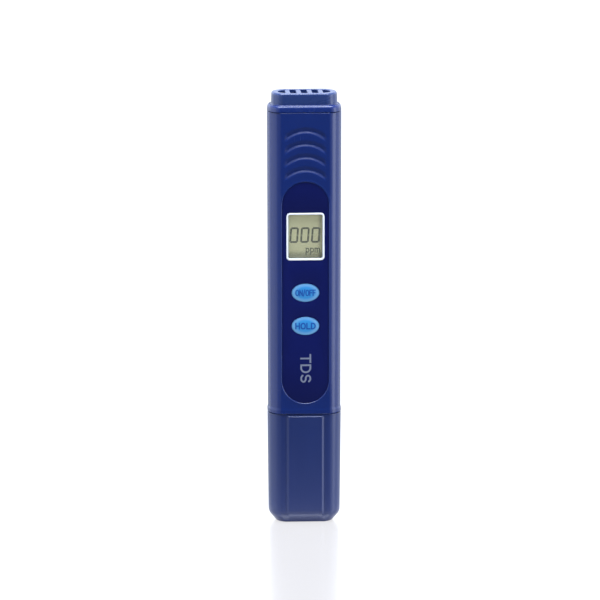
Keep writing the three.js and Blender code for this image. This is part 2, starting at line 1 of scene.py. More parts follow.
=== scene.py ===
"""A pen-shaped digital water tester on a pale studio floor, laid out as an add-on.

Each operator makes one piece, or one group of like pieces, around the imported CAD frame. Shapes are worked out
in millimetres as whole numpy arrays, and are put into meshes in metres. +Z runs up the pen, and the display
faces -Y. Only the stage is laid out in metres.
"""

import math
from collections import namedtuple

import bmesh
import bpy
import numpy as np
from bpy.props import FloatProperty, FloatVectorProperty, PointerProperty
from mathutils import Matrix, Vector
from mathutils.geometry import delaunay_2d_cdt


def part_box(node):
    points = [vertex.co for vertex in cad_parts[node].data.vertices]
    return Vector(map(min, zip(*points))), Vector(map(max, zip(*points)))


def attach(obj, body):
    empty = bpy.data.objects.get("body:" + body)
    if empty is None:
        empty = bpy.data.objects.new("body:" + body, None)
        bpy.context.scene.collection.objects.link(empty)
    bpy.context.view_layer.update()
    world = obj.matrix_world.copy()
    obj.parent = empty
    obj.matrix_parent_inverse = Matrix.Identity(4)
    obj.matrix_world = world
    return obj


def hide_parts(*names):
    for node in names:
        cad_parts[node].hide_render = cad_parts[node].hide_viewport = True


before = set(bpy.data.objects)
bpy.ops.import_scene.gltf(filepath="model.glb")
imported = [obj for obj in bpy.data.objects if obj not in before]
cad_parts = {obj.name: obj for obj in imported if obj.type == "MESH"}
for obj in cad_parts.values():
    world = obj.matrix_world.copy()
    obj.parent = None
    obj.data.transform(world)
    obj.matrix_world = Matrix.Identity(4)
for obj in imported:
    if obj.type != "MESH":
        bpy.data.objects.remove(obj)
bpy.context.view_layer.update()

bl_info = {
    "name": "Digital water tester",
    "version": (1, 0, 0),
    "blender": (4, 5, 0),
    "location": "3D View > Sidebar > Tester",
    "description": "Builds a pen-shaped water tester around its CAD frame",
    "category": "Object",
}

MM = 0.001


Span = namedtuple("Span", "low high middle size half")


def span(node):
    """A CAD node's lowest and highest corner, its middle, its size and half its size, in millimetres."""
    low, high = (np.array(corner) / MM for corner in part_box(node))
    return Span(low, high, (low + high) / 2, high - low, (high - low) / 2)


# ---- places taken from the frame ----

BATTERY_CAP, PROBE_CAP, FRONT_SHELL = span("battery_cap"), span("probe_cap"), span("front_shell")
LABEL, REAR_LABEL = span("face_label"), span("rear_label")
BEZEL, LENS = span("display_bezel"), span("display_lens")
BUTTONS = ("power_button", "hold_button")
SKIN = 0.15  # how far the finished sides stand outside the solids
HALF_WIDTH = BATTERY_CAP.high[0] + SKIN  # at the top of the housing
HALF_DEPTH, HEIGHT = BATTERY_CAP.high[1:]
PROBE_SEAM = PROBE_CAP.high[2]
HOUSING_FOOT, HOUSING_HEAD = FRONT_SHELL.low[2], FRONT_SHELL.high[2]
TRIMMER_Z = span("trimmer_screw").middle[2]

# ---- sizes that the frame doesn't state, in millimetres ----

FLAT_HALF_WIDTH = 8.2  # the flat of the front and back faces, between the creases
FOOT_HALF_WIDTH = HALF_WIDTH - 0.3
SIDE_HALF_FLAT = 0.8  # the straight part of each side, between its two corners
WALL = 1.5
LABEL_GAP = 0.15
PANEL_HALF_WIDTH = LABEL.high[0] + LABEL_GAP
PANEL_FOOT, PANEL_HEAD = LABEL.low[2] - LABEL_GAP, LABEL.high[2] + LABEL_GAP
BUTTON_FLANGE = 0.6
GRIP_TOP, GRIP_RADIUS, GRIP_PITCH, GRIP_ARCS = 134.8, 9.3, 4.47, 4
GRIP_RAMP, GRIP_LEDGE, GRIP_HALF_WIDTH, GRIP_END = 2.4, 1.15, 7.4, 1.5


# ---- properties ----


def number(name, description, default, **kind):
    """A number property. Its unit or subtype and its limits come as keywords."""
    return FloatProperty(name=name, description=description, default=default, **kind)


def millimetres(name, description, default):
    """A length property whose value is in millimetres."""
    return number(name, description, default, min=0.0, soft_max=20.0, precision=3)


def angle(name, description, degrees):
    """An angle property, from its default in degrees."""
    return number(name, description, math.radians(degrees), subtype="ANGLE")


def colour(name, description, default):
    """A colour property, in linear light."""
    return FloatVectorProperty(
        name=name, description=description, default=default, subtype="COLOR", size=3, min=0.0, max=1.0
    )


class TesterShape(bpy.types.PropertyGroup):
    """Sizes of the visible mouldings."""

    crease: angle("Crease", "Angle between the flat front and the start of each rounded side", 14)
    panel_depth: millimetres("Panel depth", "How far the display panel is sunk in the front", 0.5)
    lip_width: millimetres("Lip width", "Width of the rounded wall round the display panel", 0.34)
    groove_depth: millimetres("Grip depth", "Depth of the thumb grip's arc grooves", 0.50)
    pad_height: millimetres("Pad height", "How far the probe cap's flat pads stand proud", 0.46)
    button_crown: millimetres("Button crown", "Height of the crown on each button", 0.28)
    ink: millimetres("Ink", "Thickness of the printed legends", 0.03)


class TesterFinish(bpy.types.PropertyGroup):
    """Colours of the visible materials."""

    housing: colour("Housing", "Moulded dark blue of the shells and caps", (0.0036, 0.0150, 0.102))
    # Painted light: the crown is paler than the housing to stand for the top light on it.
    crown: colour("Crown", "Paler blue of the battery cap's crown", (0.0130, 0.0290, 0.112))
    # Painted reflection: the probe cap is paler than the housing, and paler still towards its foot, to stand
    # for the white floor mirrored in it.
    cap: colour("Probe cap", "Dulled blue of the probe cap's mouth", (0.0095, 0.0210, 0.098))
    cap_foot_painted_reflection: colour("Probe cap's foot", "Paler blue that the probe cap fades to", (0.0190, 0.0310, 0.112))
    label: colour("Face label", "Printed navy of the display panel", (0.0002, 0.0030, 0.055))
    button: colour("Buttons", "Sky blue of the two buttons", (0.016, 0.195, 0.47))
    legend: colour("Button legends", "Ink of the words on the buttons", (0.001, 0.055, 0.27))
    panel_ink: colour("Panel ink", "Ink of the letters on the panel", (0.135, 0.155, 0.225))
    display: colour("Display", "Grey-green of the reflective display", (0.40, 0.39, 0.225))
    segments: colour("Segments", "Dark marks of the display", (0.075, 0.078, 0.055))
    bezel: colour("Display border", "White border round the display", (0.66, 0.69, 0.78))


class TesterStage(bpy.types.PropertyGroup):
    """Camera, lights and surround."""

    azimuth: angle("Azimuth", "Camera's turn round the pen from straight in front", -3.6)
    elevation: angle("Elevation", "Camera's height angle", 9.5)
    distance: number("Distance", "Camera's distance from the pen", 3.0, unit="LENGTH")
    lens: number("Lens", "Focal length in millimetres", 525.6, subtype="NONE")
    top_light: number("Top light", "Radiance of the overhead softbox", 14.0)
    side_light: number("Side light", "Radiance of the softbox on the right", 3.4)
    left_light: number("Left light", "Radiance of the softbox on the left", 1.05)
    rim_light: number("Rim light", "Radiance of the two softboxes behind", 0.75)
    sky: number("Surround", "Radiance of the white surround", 1.0)


# ---- surfaces ----


def smooth_step(t):
    """0 below 0 and 1 above 1, with the cubic 3t^2 - 2t^3 between them."""
    t = np.clip(t, 0, 1)
    return t * t * (3 - 2 * t)


class Columns:
    """Where the columns of a ring stand on a rounded rectangle.

    A point is flat * (half - corner) + bend * corner in x and in y: flat runs over the straight sides and
    bend round the corners. A corner is a stretch of an ellipse that leaves the front and back at the crease
    angle.
    """

    def __init__(self, *parts):
        flat_x, bend_x, flat_y, bend_y = (np.concatenate(column) for column in zip(*parts))
        self.flat = np.stack([flat_x, flat_y])
        self.bend = np.stack([bend_x, bend_y])

    def place(self, half_x, half_y, corner_x, corner_y):
        """The ring's x and y. The sizes may be arrays of shape (rows, 1)."""
        x = self.flat[0] * (half_x - corner_x) + self.bend[0] * corner_x
        y = self.flat[1] * (half_y - corner_y) + self.bend[1] * corner_y
        return x, y


def corner_part(crease, steps, sign_x, sign_y, rising):
    """One corner: angle t runs from the crease to a right angle, x grows as sin t and y falls as cos t."""
    t = np.linspace(crease, math.pi / 2, steps + 1)[1:-1]
    if not rising:
        t = t[::-1]
    bend_x = (np.sin(t) - math.sin(crease)) / (1 - math.sin(crease))
    bend_y = np.cos(t) / math.cos(crease)
    ones = np.ones_like(t)
    return sign_x * ones, sign_x * bend_x, sign_y * ones, sign_y * bend_y


def face_part(flat, side):
    """A stretch of the front (side -1) or the back (side 1), at fractions of its half width."""
    return flat, 0 * flat, 0 * flat + side, 0 * flat + side


def side_part(flat, side):
    """A stretch of the right side (1) or the left side (-1), at fractions of its half flat."""
    return 0 * flat + side, 0 * flat + side, flat, 0 * flat


def ring_columns(flat, crease, corner_steps):
    """Columns of a closed ring, counter-clockwise from the left end of the front."""
    side = np.linspace(-1, 1, 4)
    return Columns(
        face_part(flat, -1),
        corner_part(crease, corner_steps, 1, -1, True),
        side_part(side, 1),
        corner_part(crease, corner_steps, 1, 1, False),
        face_part(-flat, 1),
        corner_part(crease, corner_steps, -1, 1, True),
        side_part(-side, -1),
        corner_part(crease, corner_steps, -1, -1, False),
    )


def oval_columns(count=96):
    """Columns of a plain ellipse: both half sizes are all corner."""
    turn = np.linspace(0, 2 * math.pi, count, endpoint=False)
    return Columns((0 * turn, np.cos(turn), 0 * turn, np.sin(turn)))


def rounded(stations, radii, steps=4):
    """A path of stations with its corners rounded.

    A corner gives way to the quadratic curve p + a(1-t)^2 + bt^2, where a and b are its two arms, one radius
    long. A point a little further out on each arm keeps the flat beyond it flat in the shading.
    """
    stations = np.asarray(stations, float)
    t = np.linspace(0, 1, steps + 1)[:, None]
    path = [stations[:1]]
    for before, corner, after, radius in zip(stations, stations[1:], stations[2:], radii[1:]):
        if radius == 0:
            path.append(corner[None])
            continue
        arms, guards = [], []
        for neighbour in (before, after):
            arm = neighbour - corner
            share = min(radius / np.linalg.norm(arm[:2]), 0.6)
            arms.append(arm * share)
            guards.append((corner + arm * (share + min(0.6 * share, 0.15)))[None])
        near, far = arms
        path += [guards[0], corner + near * (1 - t) ** 2 + far * t**2, guards[1]]
    path.append(stations[-1:])
    return np.concatenate(path)


def loft(stations, columns):
    """Rings through stations (z, half_x, half_y, corner_x, corner_y), as a grid of points, one row a ring."""
    z, *sizes = (column[:, None] for column in np.asarray(stations, float).T)
    x, y = columns.place(*sizes)
    return np.stack([x, y, z + 0 * x], axis=-1)


def grid_quads(rows, columns, closed_rows=False):
    """Quads of a grid whose last column joins its first. Columns run counter-clockwise and rows upwards."""
    row = np.arange(rows if closed_rows else rows - 1)[:, None]
    column = np.arange(columns)[None]
    above, beside = (row + 1) % rows, (column + 1) % columns
    low, high = row * columns, above * columns
    return np.stack([low + column, low + beside, high + beside, high + column], axis=-1).reshape(-1, 4)


def shell(outer, inner, keep, closed=False):
    """A wall between an outer and an inner grid of points, as (points, faces).

    keep says which cells of the grid are solid. The outer cells face out and the inner ones in, and where a
    kept cell has no kept neighbour a quad joins the two grids. In a closed wall the last column of cells has
    the first as its neighbour.
    """
    rows, columns = keep.shape
    width = columns + 1
    behind = (rows + 1) * width
    row, column = np.nonzero(keep)
    low_left = row * width + column
    corners = np.stack([low_left, low_left + 1, low_left + 1 + width, low_left + width], axis=-1)
    framed = np.pad(keep, 1)
    if closed:
        framed[:, [0, -1]] = framed[:, [-2, 1]]
    is_open = (
        ~framed[row, column + 1],  # below
        ~framed[row + 1, column + 2],  # on the right
        ~framed[row + 2, column + 1],  # above
        ~framed[row + 1, column],  # on the left
    )
    quads = [corners, corners[:, ::-1] + behind]
    for side, bare in enumerate(is_open):
        start, end = corners[bare, side], corners[bare, (side + 1) % 4]
        quads.append(np.stack([end, start, start + behind, end + behind], axis=-1))
    return np.concatenate([outer.reshape(-1, 3), inner.reshape(-1, 3)]), np.concatenate(quads)


UPRIGHT = np.eye(3)
FACING_FRONT = np.array([[1, 0, 0], [0, 0, 1], [0, -1, 0]])  # local x, y, z become X, Z, -Y
FACING_BACK = np.array([[-1, 0, 0], [0, 0, 1], [0, 1, 0]])  # local x, y, z become -X, Z, Y
ALONG_X = np.array([[0, 1, 0], [0, 0, 1], [1, 0, 0]])  # local x, y, z become Y, Z, X


def in_place(solid, turn, at):
    """A solid turned so that each local axis lies along its row of turn, then moved to at."""
    points, faces = solid
    return points.reshape(-1, 3) @ turn + np.asarray(at, float), faces


def on_front(solid, y, x=0, z=0):
    """A solid that lies on the pen's front: its local z points forwards from y."""
    return in_place(solid, FACING_FRONT, (x, y, z))


def joined(parts):
    """Several solids, each given as (points, faces), as one."""
    points, faces, start = [], [], 0
    for part_points, part_faces in parts:
        part_points = part_points.reshape(-1, 3)
        points.append(part_points)
        faces.append(np.asarray(part_faces) + start)
        start += len(part_points)
    return np.concatenate(points), np.concatenate(faces)


def mesh_object(name, solid, material, weld=True):
    """A smooth-shaded object from a solid in millimetres. Welding joins points that meet, as at a pole."""
    points, faces = solid
    points = points.reshape(-1, 3) * MM
    mesh = bpy.data.meshes.new(name)
    mesh.vertices.add(len(points))
    mesh.vertices.foreach_set("co", points.ravel())
    mesh.loops.add(faces.size)
    mesh.loops.foreach_set("vertex_index", faces.ravel().astype(np.int32))
    mesh.polygons.add(len(faces))
    mesh.polygons.foreach_set("loop_start", (np.arange(len(faces)) * faces.shape[1]).astype(np.int32))
    mesh.update(calc_edges=True)
    if weld:
        work = bmesh.new()
        work.from_mesh(mesh)
        bmesh.ops.remove_doubles(work, verts=work.verts, dist=1e-7)
        bmesh.ops.dissolve_degenerate(work, edges=work.edges, dist=1e-8)
        work.to_mesh(mesh)
        work.free()
    mesh.validate()
    mesh.shade_smooth()
    mesh.set_sharp_from_angle(angle=math.radians(40))
    mesh.materials.append(material)
    made = bpy.data.objects.new(name, mesh)
    bpy.context.scene.collection.objects.link(made)
    return made


def make_piece(name, solid, material, replaces, body="housing", weld=True):
    """A piece that rides on a body, in place of the CAD nodes that it replaces."""
    piece = mesh_object(name, solid, material, weld)
    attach(piece, body)
    if replaces:
        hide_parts(*replaces)


def refinish(node, material):
    """Gives a CAD node that keeps its shape a material of its own."""
    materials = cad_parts[node].data.materials
    materials.clear()
    materials.append(material)


def lofted(stations, radii, columns, steps=4):
    """A closed solid through rounded stations: its first and last stations are points, which close it."""
    points = loft(rounded(stations, radii, steps), columns)
    return points, grid_quads(*points.shape[:2])


def turned(profile, radii, count, steps):
    """A solid of revolution about local z from (z, radius) stations that start and end on the axis."""
    stations = [(z, radius, radius, radius, radius) for z, radius in rounded(profile, radii, steps)]
    points = loft(stations, oval_columns(count))
    return points, grid_quads(*points.shape[:2])


def even_steps(*stops):
    """Coordinates from (end, spacing) stops: from each end to the next at about that spacing."""
    values = [np.array([stops[0]], float)]
    start = stops[0]
    for end, spacing in stops[1:]:
        count = max(1, round(abs(end - start) / spacing))
        values.append(np.linspace(start, end, count + 1)[1:])
        start = end
    return np.concatenate(values)


# ---- flat plates and lettering ----


def rounded_rectangle(half_x, half_z, radius, centre=(0, 0), steps=12):
    """Closed outline: four quarter circles, counter-clockwise, joined by straight sides."""
    quarter = np.linspace(0, math.pi / 2, steps)
    angle = (quarter + np.arange(4)[:, None] * math.pi / 2).ravel()
    sign_x = np.repeat([1, -1, -1, 1], steps)
    sign_z = np.repeat([1, 1, -1, -1], steps)
    x = sign_x * (half_x - radius) + radius * np.cos(angle) + centre[0]
    z = sign_z * (half_z - radius) + radius * np.sin(angle) + centre[1]
    return np.stack([x, z], axis=-1)


def ellipse_outline(half_x, half_z, centre=(0, 0), count=72):
    """Closed outline: (a cos t, b sin t)."""
    t = np.linspace(0, 2 * math.pi, count, endpoint=False)
    return np.stack([centre[0] + half_x * np.cos(t), centre[1] + half_z * np.sin(t)], axis=-1)


def outward(outline):
    """Unit normals of a closed counter-clockwise outline, from the chord between each point's neighbours."""
    chord = np.roll(outline, -1, axis=0) - np.roll(outline, 1, axis=0)
    return np.stack([chord[:, 1], -chord[:, 0]], axis=-1) / np.linalg.norm(chord, axis=1, keepdims=True)


def edge_wall(outline, profile, hole=False):
    """A profile of (offset, height) carried round an outline. Offsets run out of the solid."""
    normal = outward(outline) * (-1 if hole else 1)
    offset, height = np.asarray(profile, float).T
    plane = outline[None] + offset[:, None, None] * normal[None]
    return np.concatenate([plane, np.broadcast_to(height[:, None, None], (*plane.shape[:2], 1))], axis=-1)


def plate(outline, holes, thickness, edge):
    """A flat plate with rounded edges and holes, in local x, y and z, as (points, triangles).

    Each edge is a quarter circle of radius edge on the front and square at the back. The flats between the
    edges are filled by a constrained Delaunay triangulation of their outlines.
    """
    turn = np.linspace(0, math.pi / 2, 4)[::-1]
    nose = np.stack([edge * (np.sin(turn) - 1), thickness - edge * (1 - np.cos(turn))], axis=-1)
    profile = np.concatenate([[[0, 0]], nose])
    parts = []
    for loop, is_hole in [(outline, False), *[(hole, True) for hole in holes]]:
        wall = edge_wall(loop, profile, is_hole)
        quads = grid_quads(*wall.shape[:2])
        if is_hole:
            quads = quads[:, ::-1]
        triangles = np.concatenate([quads[:, [0, 1, 2]], quads[:, [0, 2, 3]]])
        parts.append((wall, triangles))
    starts = np.cumsum([0, *[len(loop) for loop in (outline, *holes)]])
    rims = [list(range(start, end)) for start, end in zip(starts.tolist(), starts.tolist()[1:])]
    for level, is_front in ((-1, True), (0, False)):
        loops = np.concatenate([wall.reshape(len(profile), -1, 3)[level] for wall, _ in parts[: len(rims)]])
        corners = [Vector(point[:2]) for point in loops.tolist()]
        # Each triangle comes with the list of the outlines that it lies in: one in a hole has two.
        flat, _, triangles, _, _, owners = delaunay_2d_cdt(corners, [], rims, 1, 1e-6)
        triangles = np.array([triangle for triangle, owner in zip(triangles, owners) if owner == [0]])
        points = np.array([(*point, loops[0, 2]) for point in flat])
        parts.append((points, triangles if is_front else triangles[:, ::-1]))
    return joined(parts)


def arc(centre_x, centre_y, radius_x, radius_y, start, end, count=18):
    """Points of an ellipse between two angles in degrees."""
    t = np.radians(np.linspace(start, end, count))
    return np.stack([centre_x + radius_x * np.cos(t), centre_y + radius_y * np.sin(t)], axis=-1)


def line(*points):
    """A straight or broken line with its straight stretches divided, so that it can follow a curved face."""
    points = np.asarray(points, float)
    t = np.linspace(0, 1, 7)[:, None]
    return np.concatenate([a + (b - a) * t for a, b in zip(points, points[1:])])


def chain(*parts):
    """Points and curves that run on from one another, as one stroke."""
    return np.concatenate([np.atleast_2d(part) for part in parts])


def loop_of(width, height=1.0, power=2.6):
    """A closed upright loop, between an ellipse and a rectangle: |x/a|^p + |y/b|^p = 1."""
    t = np.linspace(0, 2 * math.pi, 49)
    c, s = np.cos(t), np.sin(t)
    x = np.sign(c) * np.abs(c) ** (2 / power)
    y = np.sign(s) * np.abs(s) ** (2 / power)
    return np.stack([width / 2 * (1 + x), height / 2 * (1 + y)], axis=-1)


# Plain stroke letters, one unit high: their width and their strokes.
GLYPHS = {
    "O": (0.74, [loop_of(0.74)]),
    "N": (0.68, [line((0, 0), (0, 1)), line((0, 1), (0.68, 0)), line((0.68, 0), (0.68, 1))]),
    "F": (0.56, [line((0, 0), (0, 1)), line((0, 1), (0.56, 1)), line((0, 0.52), (0.48, 0.52))]),
    "H": (0.66, [line((0, 0), (0, 1)), line((0.66, 0), (0.66, 1)), line((0, 0.5), (0.66, 0.5))]),
    "L": (0.54, [line((0, 1), (0, 0)), line((0, 0), (0.54, 0))]),
    "D": (0.68, [line((0, 0), (0, 1)), chain((0, 1), arc(0.26, 0.5, 0.42, 0.5, 90, -90), (0, 0))]),
    "T": (0.70, [line((0, 1), (0.70, 1)), line((0.35, 0), (0.35, 1))]),
    "S": (0.62, [chain(arc(0.31, 0.75, 0.29, 0.25, 25, 270), arc(0.31, 0.25, 0.31, 0.25, 90, -155)[1:])]),
    "/": (0.36, [line((0, -0.06), (0.36, 1.06))]),
    "p": (0.52, [line((0, -0.4), (0, 0.7)), loop_of(0.5, 0.7, 2.2)]),
    "m": (
        0.80,
        [
            line((0, 0), (0, 0.7)),
            chain(arc(0.2, 0.45, 0.2, 0.25, 180, 0), (0.4, 0)),
            chain(arc(0.6, 0.45, 0.2, 0.25, 180, 0), (0.8, 0)),
        ],
    ),
}


def word_strokes(word, height, gap):
    """The strokes of a word, centred on the origin."""
    strokes, x = [], 0.0
    for letter in word:
        width, glyph = GLYPHS[letter]
        strokes += [stroke + (x, 0) for stroke in glyph]
        x += width + gap
    middle = np.array([(x - gap) / 2, 0.5])
    return [(stroke - middle) * height for stroke in strokes]


def ribbon(stroke, width):
    """A stroke's two edges: each point moved half the width to either side of the line, with squared ends."""
    step = np.gradient(stroke, axis=0)
    closed = np.allclose(stroke[0], stroke[-1])
    if closed:
        step[0] = step[-1] = stroke[1] - stroke[-2]
    direction = step / np.linalg.norm(step, axis=1, keepdims=True)
    side = np.stack([-direction[:, 1], direction[:, 0]], axis=-1) * width / 2
    middle = stroke.copy()
    if not closed:
        middle[0] -= direction[0] * width / 2
        middle[-1] += direction[-1] * width / 2
    return middle - side, middle + side


def flat_face(x, y):
    """The height of a face that is flat: 0 everywhere."""
    return 0 * x


def ink_marks(strokes, width, height_of, thickness):
    """Strokes as thin closed strips that follow a face: height_of(x, y) gives the face's local height.

    Each stroke stands a hair above the one before, so that strokes that cross don't share a plane.
    """
    parts = []
    for index, stroke in enumerate(strokes):
        right, left = ribbon(stroke, width)
        rise = thickness * (1 + 0.06 * index)
        rows = []
        for edge, lift in ((right, 0.0), (left, 0.0), (left, rise), (right, rise)):
            height = height_of(edge[:, 0], edge[:, 1]) + lift - thickness * 0.5
            rows.append(np.stack([edge[:, 0], edge[:, 1], height], axis=-1))
        points = np.stack(rows, axis=1)
        count = len(stroke)
        quads = grid_quads(count, 4)
        ends = np.array([[3, 2, 1, 0], [0, 1, 2, 3]]) + np.array([[0], [(count - 1) * 4]])
        parts.append((points, np.concatenate([quads, ends])))
    return joined(parts)


# ---- materials ----


class Value:
    """A node socket that can be used in sums and products. Numbers become constants on either side of a sum or
    a difference, and on the right of the other operations.
    """

    def __init__(self, graph, socket):
        self.graph = graph
        self.socket = socket

    def _math(self, operation, *terms):
        return self.graph.node("ShaderNodeMath", {"operation": operation}, *terms)

    def __add__(self, other):
        return self._math("ADD", self, other)

    def __radd__(self, other):
        return self._math("ADD", other, self)

    def __sub__(self, other):
        return self._math("SUBTRACT", self, other)

    def __rsub__(self, other):
        return self._math("SUBTRACT", other, self)

    def __mul__(self, other):
        return self._math("MULTIPLY", self, other)

    def __truediv__(self, other):
        return self._math("DIVIDE", self, other)

    def __pow__(self, other):
        return self._math("POWER", self, other)

    def size(self):
        """The value without its sign."""
        return self._math("ABSOLUTE", self)

    def clamped(self):
        """The value held between 0 and 1."""
        return self._math("MAXIMUM", self._math("MINIMUM", self, 1.0), 0.0)

    def larger(self, other):
        """The larger of two values."""
        return self._math("MAXIMUM", self, other)

    def wave(self):
        """The size of the value's sine."""
        return self._math("SINE", self).size()

    def zigzag(self, reach):
        """The value folded to run from 0 to reach and back."""
        return self._math("PINGPONG", self, reach)

    def step(self, low, high):
        """0 below low and 1 above high, with a smooth rise between them. low may be the larger one."""
        if low > high:
            return 1 - self.step(high, low)
        settings = {"interpolation_type": "SMOOTHSTEP"}
        return self.graph.node("ShaderNodeMapRange", settings, self, low, high, 0.0, 1.0)


class Graph:
    """One material's nodes, with its Principled shader at hand as the sockets that set() fills."""

    def __init__(self, name):
        self.material = bpy.data.materials.new(name)
        self.material.use_nodes = True
        self.tree = self.material.node_tree
        self.shader = self.tree.nodes["Principled BSDF"]

    def node(self, kind, settings, *inputs, output=0, **named):
        """A node of a kind: its settings are set first, then its inputs in order or by name."""
        made = self.tree.nodes.new(kind)
        for key, value in settings.items():
            setattr(made, key, value)
        for key, value in [*enumerate(inputs), *named.items()]:
            if value is not None:
                self.fill(made.inputs[key], value)
        return Value(self, made.outputs[output])

    def fill(self, socket, value):
        """Links a value to a socket, or sets the socket's own constant."""
        if isinstance(value, Value):
            self.tree.links.new(value.socket, socket)
        elif hasattr(value, "__len__"):
            socket.default_value = (*value, 1.0)[: len(socket.default_value)]
        else:
            socket.default_value = float(value)

    def set(self, **sockets):
        """Fills the Principled shader's sockets, whose spaces are given as _, and returns the material."""
        for name, value in sockets.items():
            self.fill(self.shader.inputs[name.replace("_", " ")], value)
        return self.material

    def place(self, scale=(1, 1, 1)):
        """Object coordinates in metres, with each axis scaled."""
        where = self.node("ShaderNodeTexCoord", {}, output=3)
        return self.node("ShaderNodeMapping", {}, where, None, None, tuple(scale))

    def axes(self):
        """Object coordinates as three values, in millimetres."""
        where = self.node("ShaderNodeTexCoord", {}, output=3)
        split = self.node("ShaderNodeSeparateXYZ", {}, where)
        outputs = split.socket.node.outputs
        return [Value(self, outputs[i]) / MM for i in range(3)]

    def noise(self, size_mm, detail=2.0, roughness=0.5, stretch=(1, 1, 1), distortion=0.0):
        """Noise from 0 to 1 whose grains are about size_mm across, stretched along the axes."""
        where = self.place(tuple(1 / share for share in stretch))
        grain = {"Scale": 1 / (size_mm * MM), "Detail": detail, "Roughness": roughness}
        return self.node("ShaderNodeTexNoise", {}, Vector=where, Distortion=distortion, **grain)

    def cells(self, size_mm, feature="F1", scale=(1, 1, 1)):
        """Distance field of scattered cells about size_mm apart: to their middles, or to their edges."""
        where = self.place(scale)
        return self.node("ShaderNodeTexVoronoi", {"feature": feature}, Vector=where, Scale=1 / (size_mm * MM))

    def mix(self, mask, first, second):
        """first where mask is 0 and second where it is 1, for colours."""
        made = self.tree.nodes.new("ShaderNodeMix")
        made.data_type = "RGBA"
        for key, value in ((0, mask), (6, first), (7, second)):
            self.fill(made.inputs[key], value)
        return Value(self, made.outputs[2])

    def bump(self, height, distance_mm):
        """A normal from a height between 0 and 1 that stands for distance_mm."""
        return self.node("ShaderNodeBump", {}, Strength=1.0, Distance=distance_mm * MM, Height=height)


def scaled(base, factor):
    """A colour made lighter or darker."""
    return tuple(min(1.0, channel * factor) for channel in base)


def bleached(base, factor):
    """A colour made lighter and a little greyer."""
    return tuple(min(1.0, channel * factor + 0.02) for channel in base)


def moulded_plastic(name, base, roughness, specular, fade=None, grain_mm=0.09, depth_mm=0.0016, wear=1.0):
    """Injection-moulded plastic: a fine spark-eroded skin, soft flow marks, handling smears and hairlines.

    A fade is painted light: two heights and a paler colour, and the base turns into that colour from the first
    height to the second.
    """
    g = Graph(name)
    grain = g.noise(grain_mm, 3, 0.6)
    orange_peel = g.noise(1.6, 2, 0.4)
    flow = g.noise(9, 2, 0.5, stretch=(1, 1, 3.5), distortion=0.6)
    smears = g.noise(5, 4, 0.6, stretch=(1.6, 1.6, 0.8), distortion=1.2).step(0.45, 0.72)
    hairlines = g.noise(0.12, 2, 0.4, stretch=(1, 1, 60)).step(0.70, 0.78) * g.noise(6, 2).step(0.5, 0.65)
    specks = g.cells(0.55).step(0.10, 0.04) * g.noise(3, 2).step(0.56, 0.64)
    tone = g.mix(flow, scaled(base, 0.92), scaled(base, 1.08))
    if fade:
        # Painted light: the moulding pales towards the fade's colour between its two heights.
        start, end, painted_light_tone = fade
        tone = g.mix(g.axes()[2].step(start, end), tone, painted_light_tone)
    tone = g.mix(specks * 0.35, tone, scaled(base, 1.9))
    tone = g.mix(hairlines * (0.16 * wear), tone, bleached(base, 1.6))
    height = grain * 0.4 + orange_peel * 0.4 - hairlines * 0.4
    return g.set(
        Base_Color=tone,
        Roughness=(roughness - 0.02) + grain * 0.04 + smears * (0.03 * wear) + hairlines * 0.05,
        Specular_IOR_Level=specular,
        Normal=g.bump(height, depth_mm),
    )


def printed_film(name, base, label):
    """Screen-printed polyester film: fine mesh texture under a satin coat, with painted light that makes it a
    little paler at mid height and painted shade that darkens its sides.
    """
    g = Graph(name)
    x, _, z = g.axes()
    weave = g.noise(0.07, 2, 0.6)
    blotch = g.noise(6, 3, 0.5)
    # Painted light and shade: the film is paler at mid height and darker towards its left and right sides.
    middle = ((z - label.middle[2]) / label.half[2]).size().step(1.0, 0.15)
    rim = (x / label.high[0]).size().step(0.93, 1.0)
    tone = g.mix(middle * 0.4 + blotch * 0.2, base, scaled(base, 1.35))
    tone = g.mix(rim * 0.4, tone, scaled(base, 0.6))
    return g.set(
        Base_Color=tone,
        Roughness=0.40 + blotch * 0.06 + weave * 0.05,
        Specular_IOR_Level=0.15,
        Normal=g.bump(weave, 0.0012),
    )


def button_rubber(name, base, centre_z, half_x, half_z):
    """Soft painted moulding: satin, a rim darkened as painted shade, and faint fingertip polish."""
    g = Graph(name)
    x, _, z = g.axes()
    reach = ((x / half_x) ** 2 + ((z - centre_z) / half_z) ** 2) ** 0.5
    # Painted shade: the button is darkened round its rim.
    rim = reach.step(0.90, 0.99)
    ring = reach.step(0.55, 0.88)
    polish = reach.step(0.75, 0.2) * g.noise(1.4, 3, 0.6)
    grain = g.noise(0.06, 2, 0.6)
    cloud = g.noise(1.1, 3, 0.5)
    tone = g.mix(cloud * 0.5, base, scaled(base, 0.88))
    tone = g.mix(ring * 0.8, tone, (0.11, 0.27, 0.46))
    tone = g.mix(rim * 0.7, tone, (0.035, 0.13, 0.32))
    return g.set(
        Base_Color=tone,
        Roughness=0.50 - polish * 0.12 + grain * 0.06,
        Specular_IOR_Level=0.35,
        Normal=g.bump(grain, 0.0015),
    )


def printed_ink(name, base, roughness=0.5):
    """Pad-printed ink: slightly uneven cover and a fine grain."""
    g = Graph(name)
    cover = g.noise(0.25, 3, 0.6)
    return g.set(
        Base_Color=g.mix(cover, scaled(base, 0.82), scaled(base, 1.12)),
        Roughness=roughness + cover * 0.1,
        Specular_IOR_Level=0.3,
        Normal=g.bump(g.noise(0.05, 2), 0.001),
    )


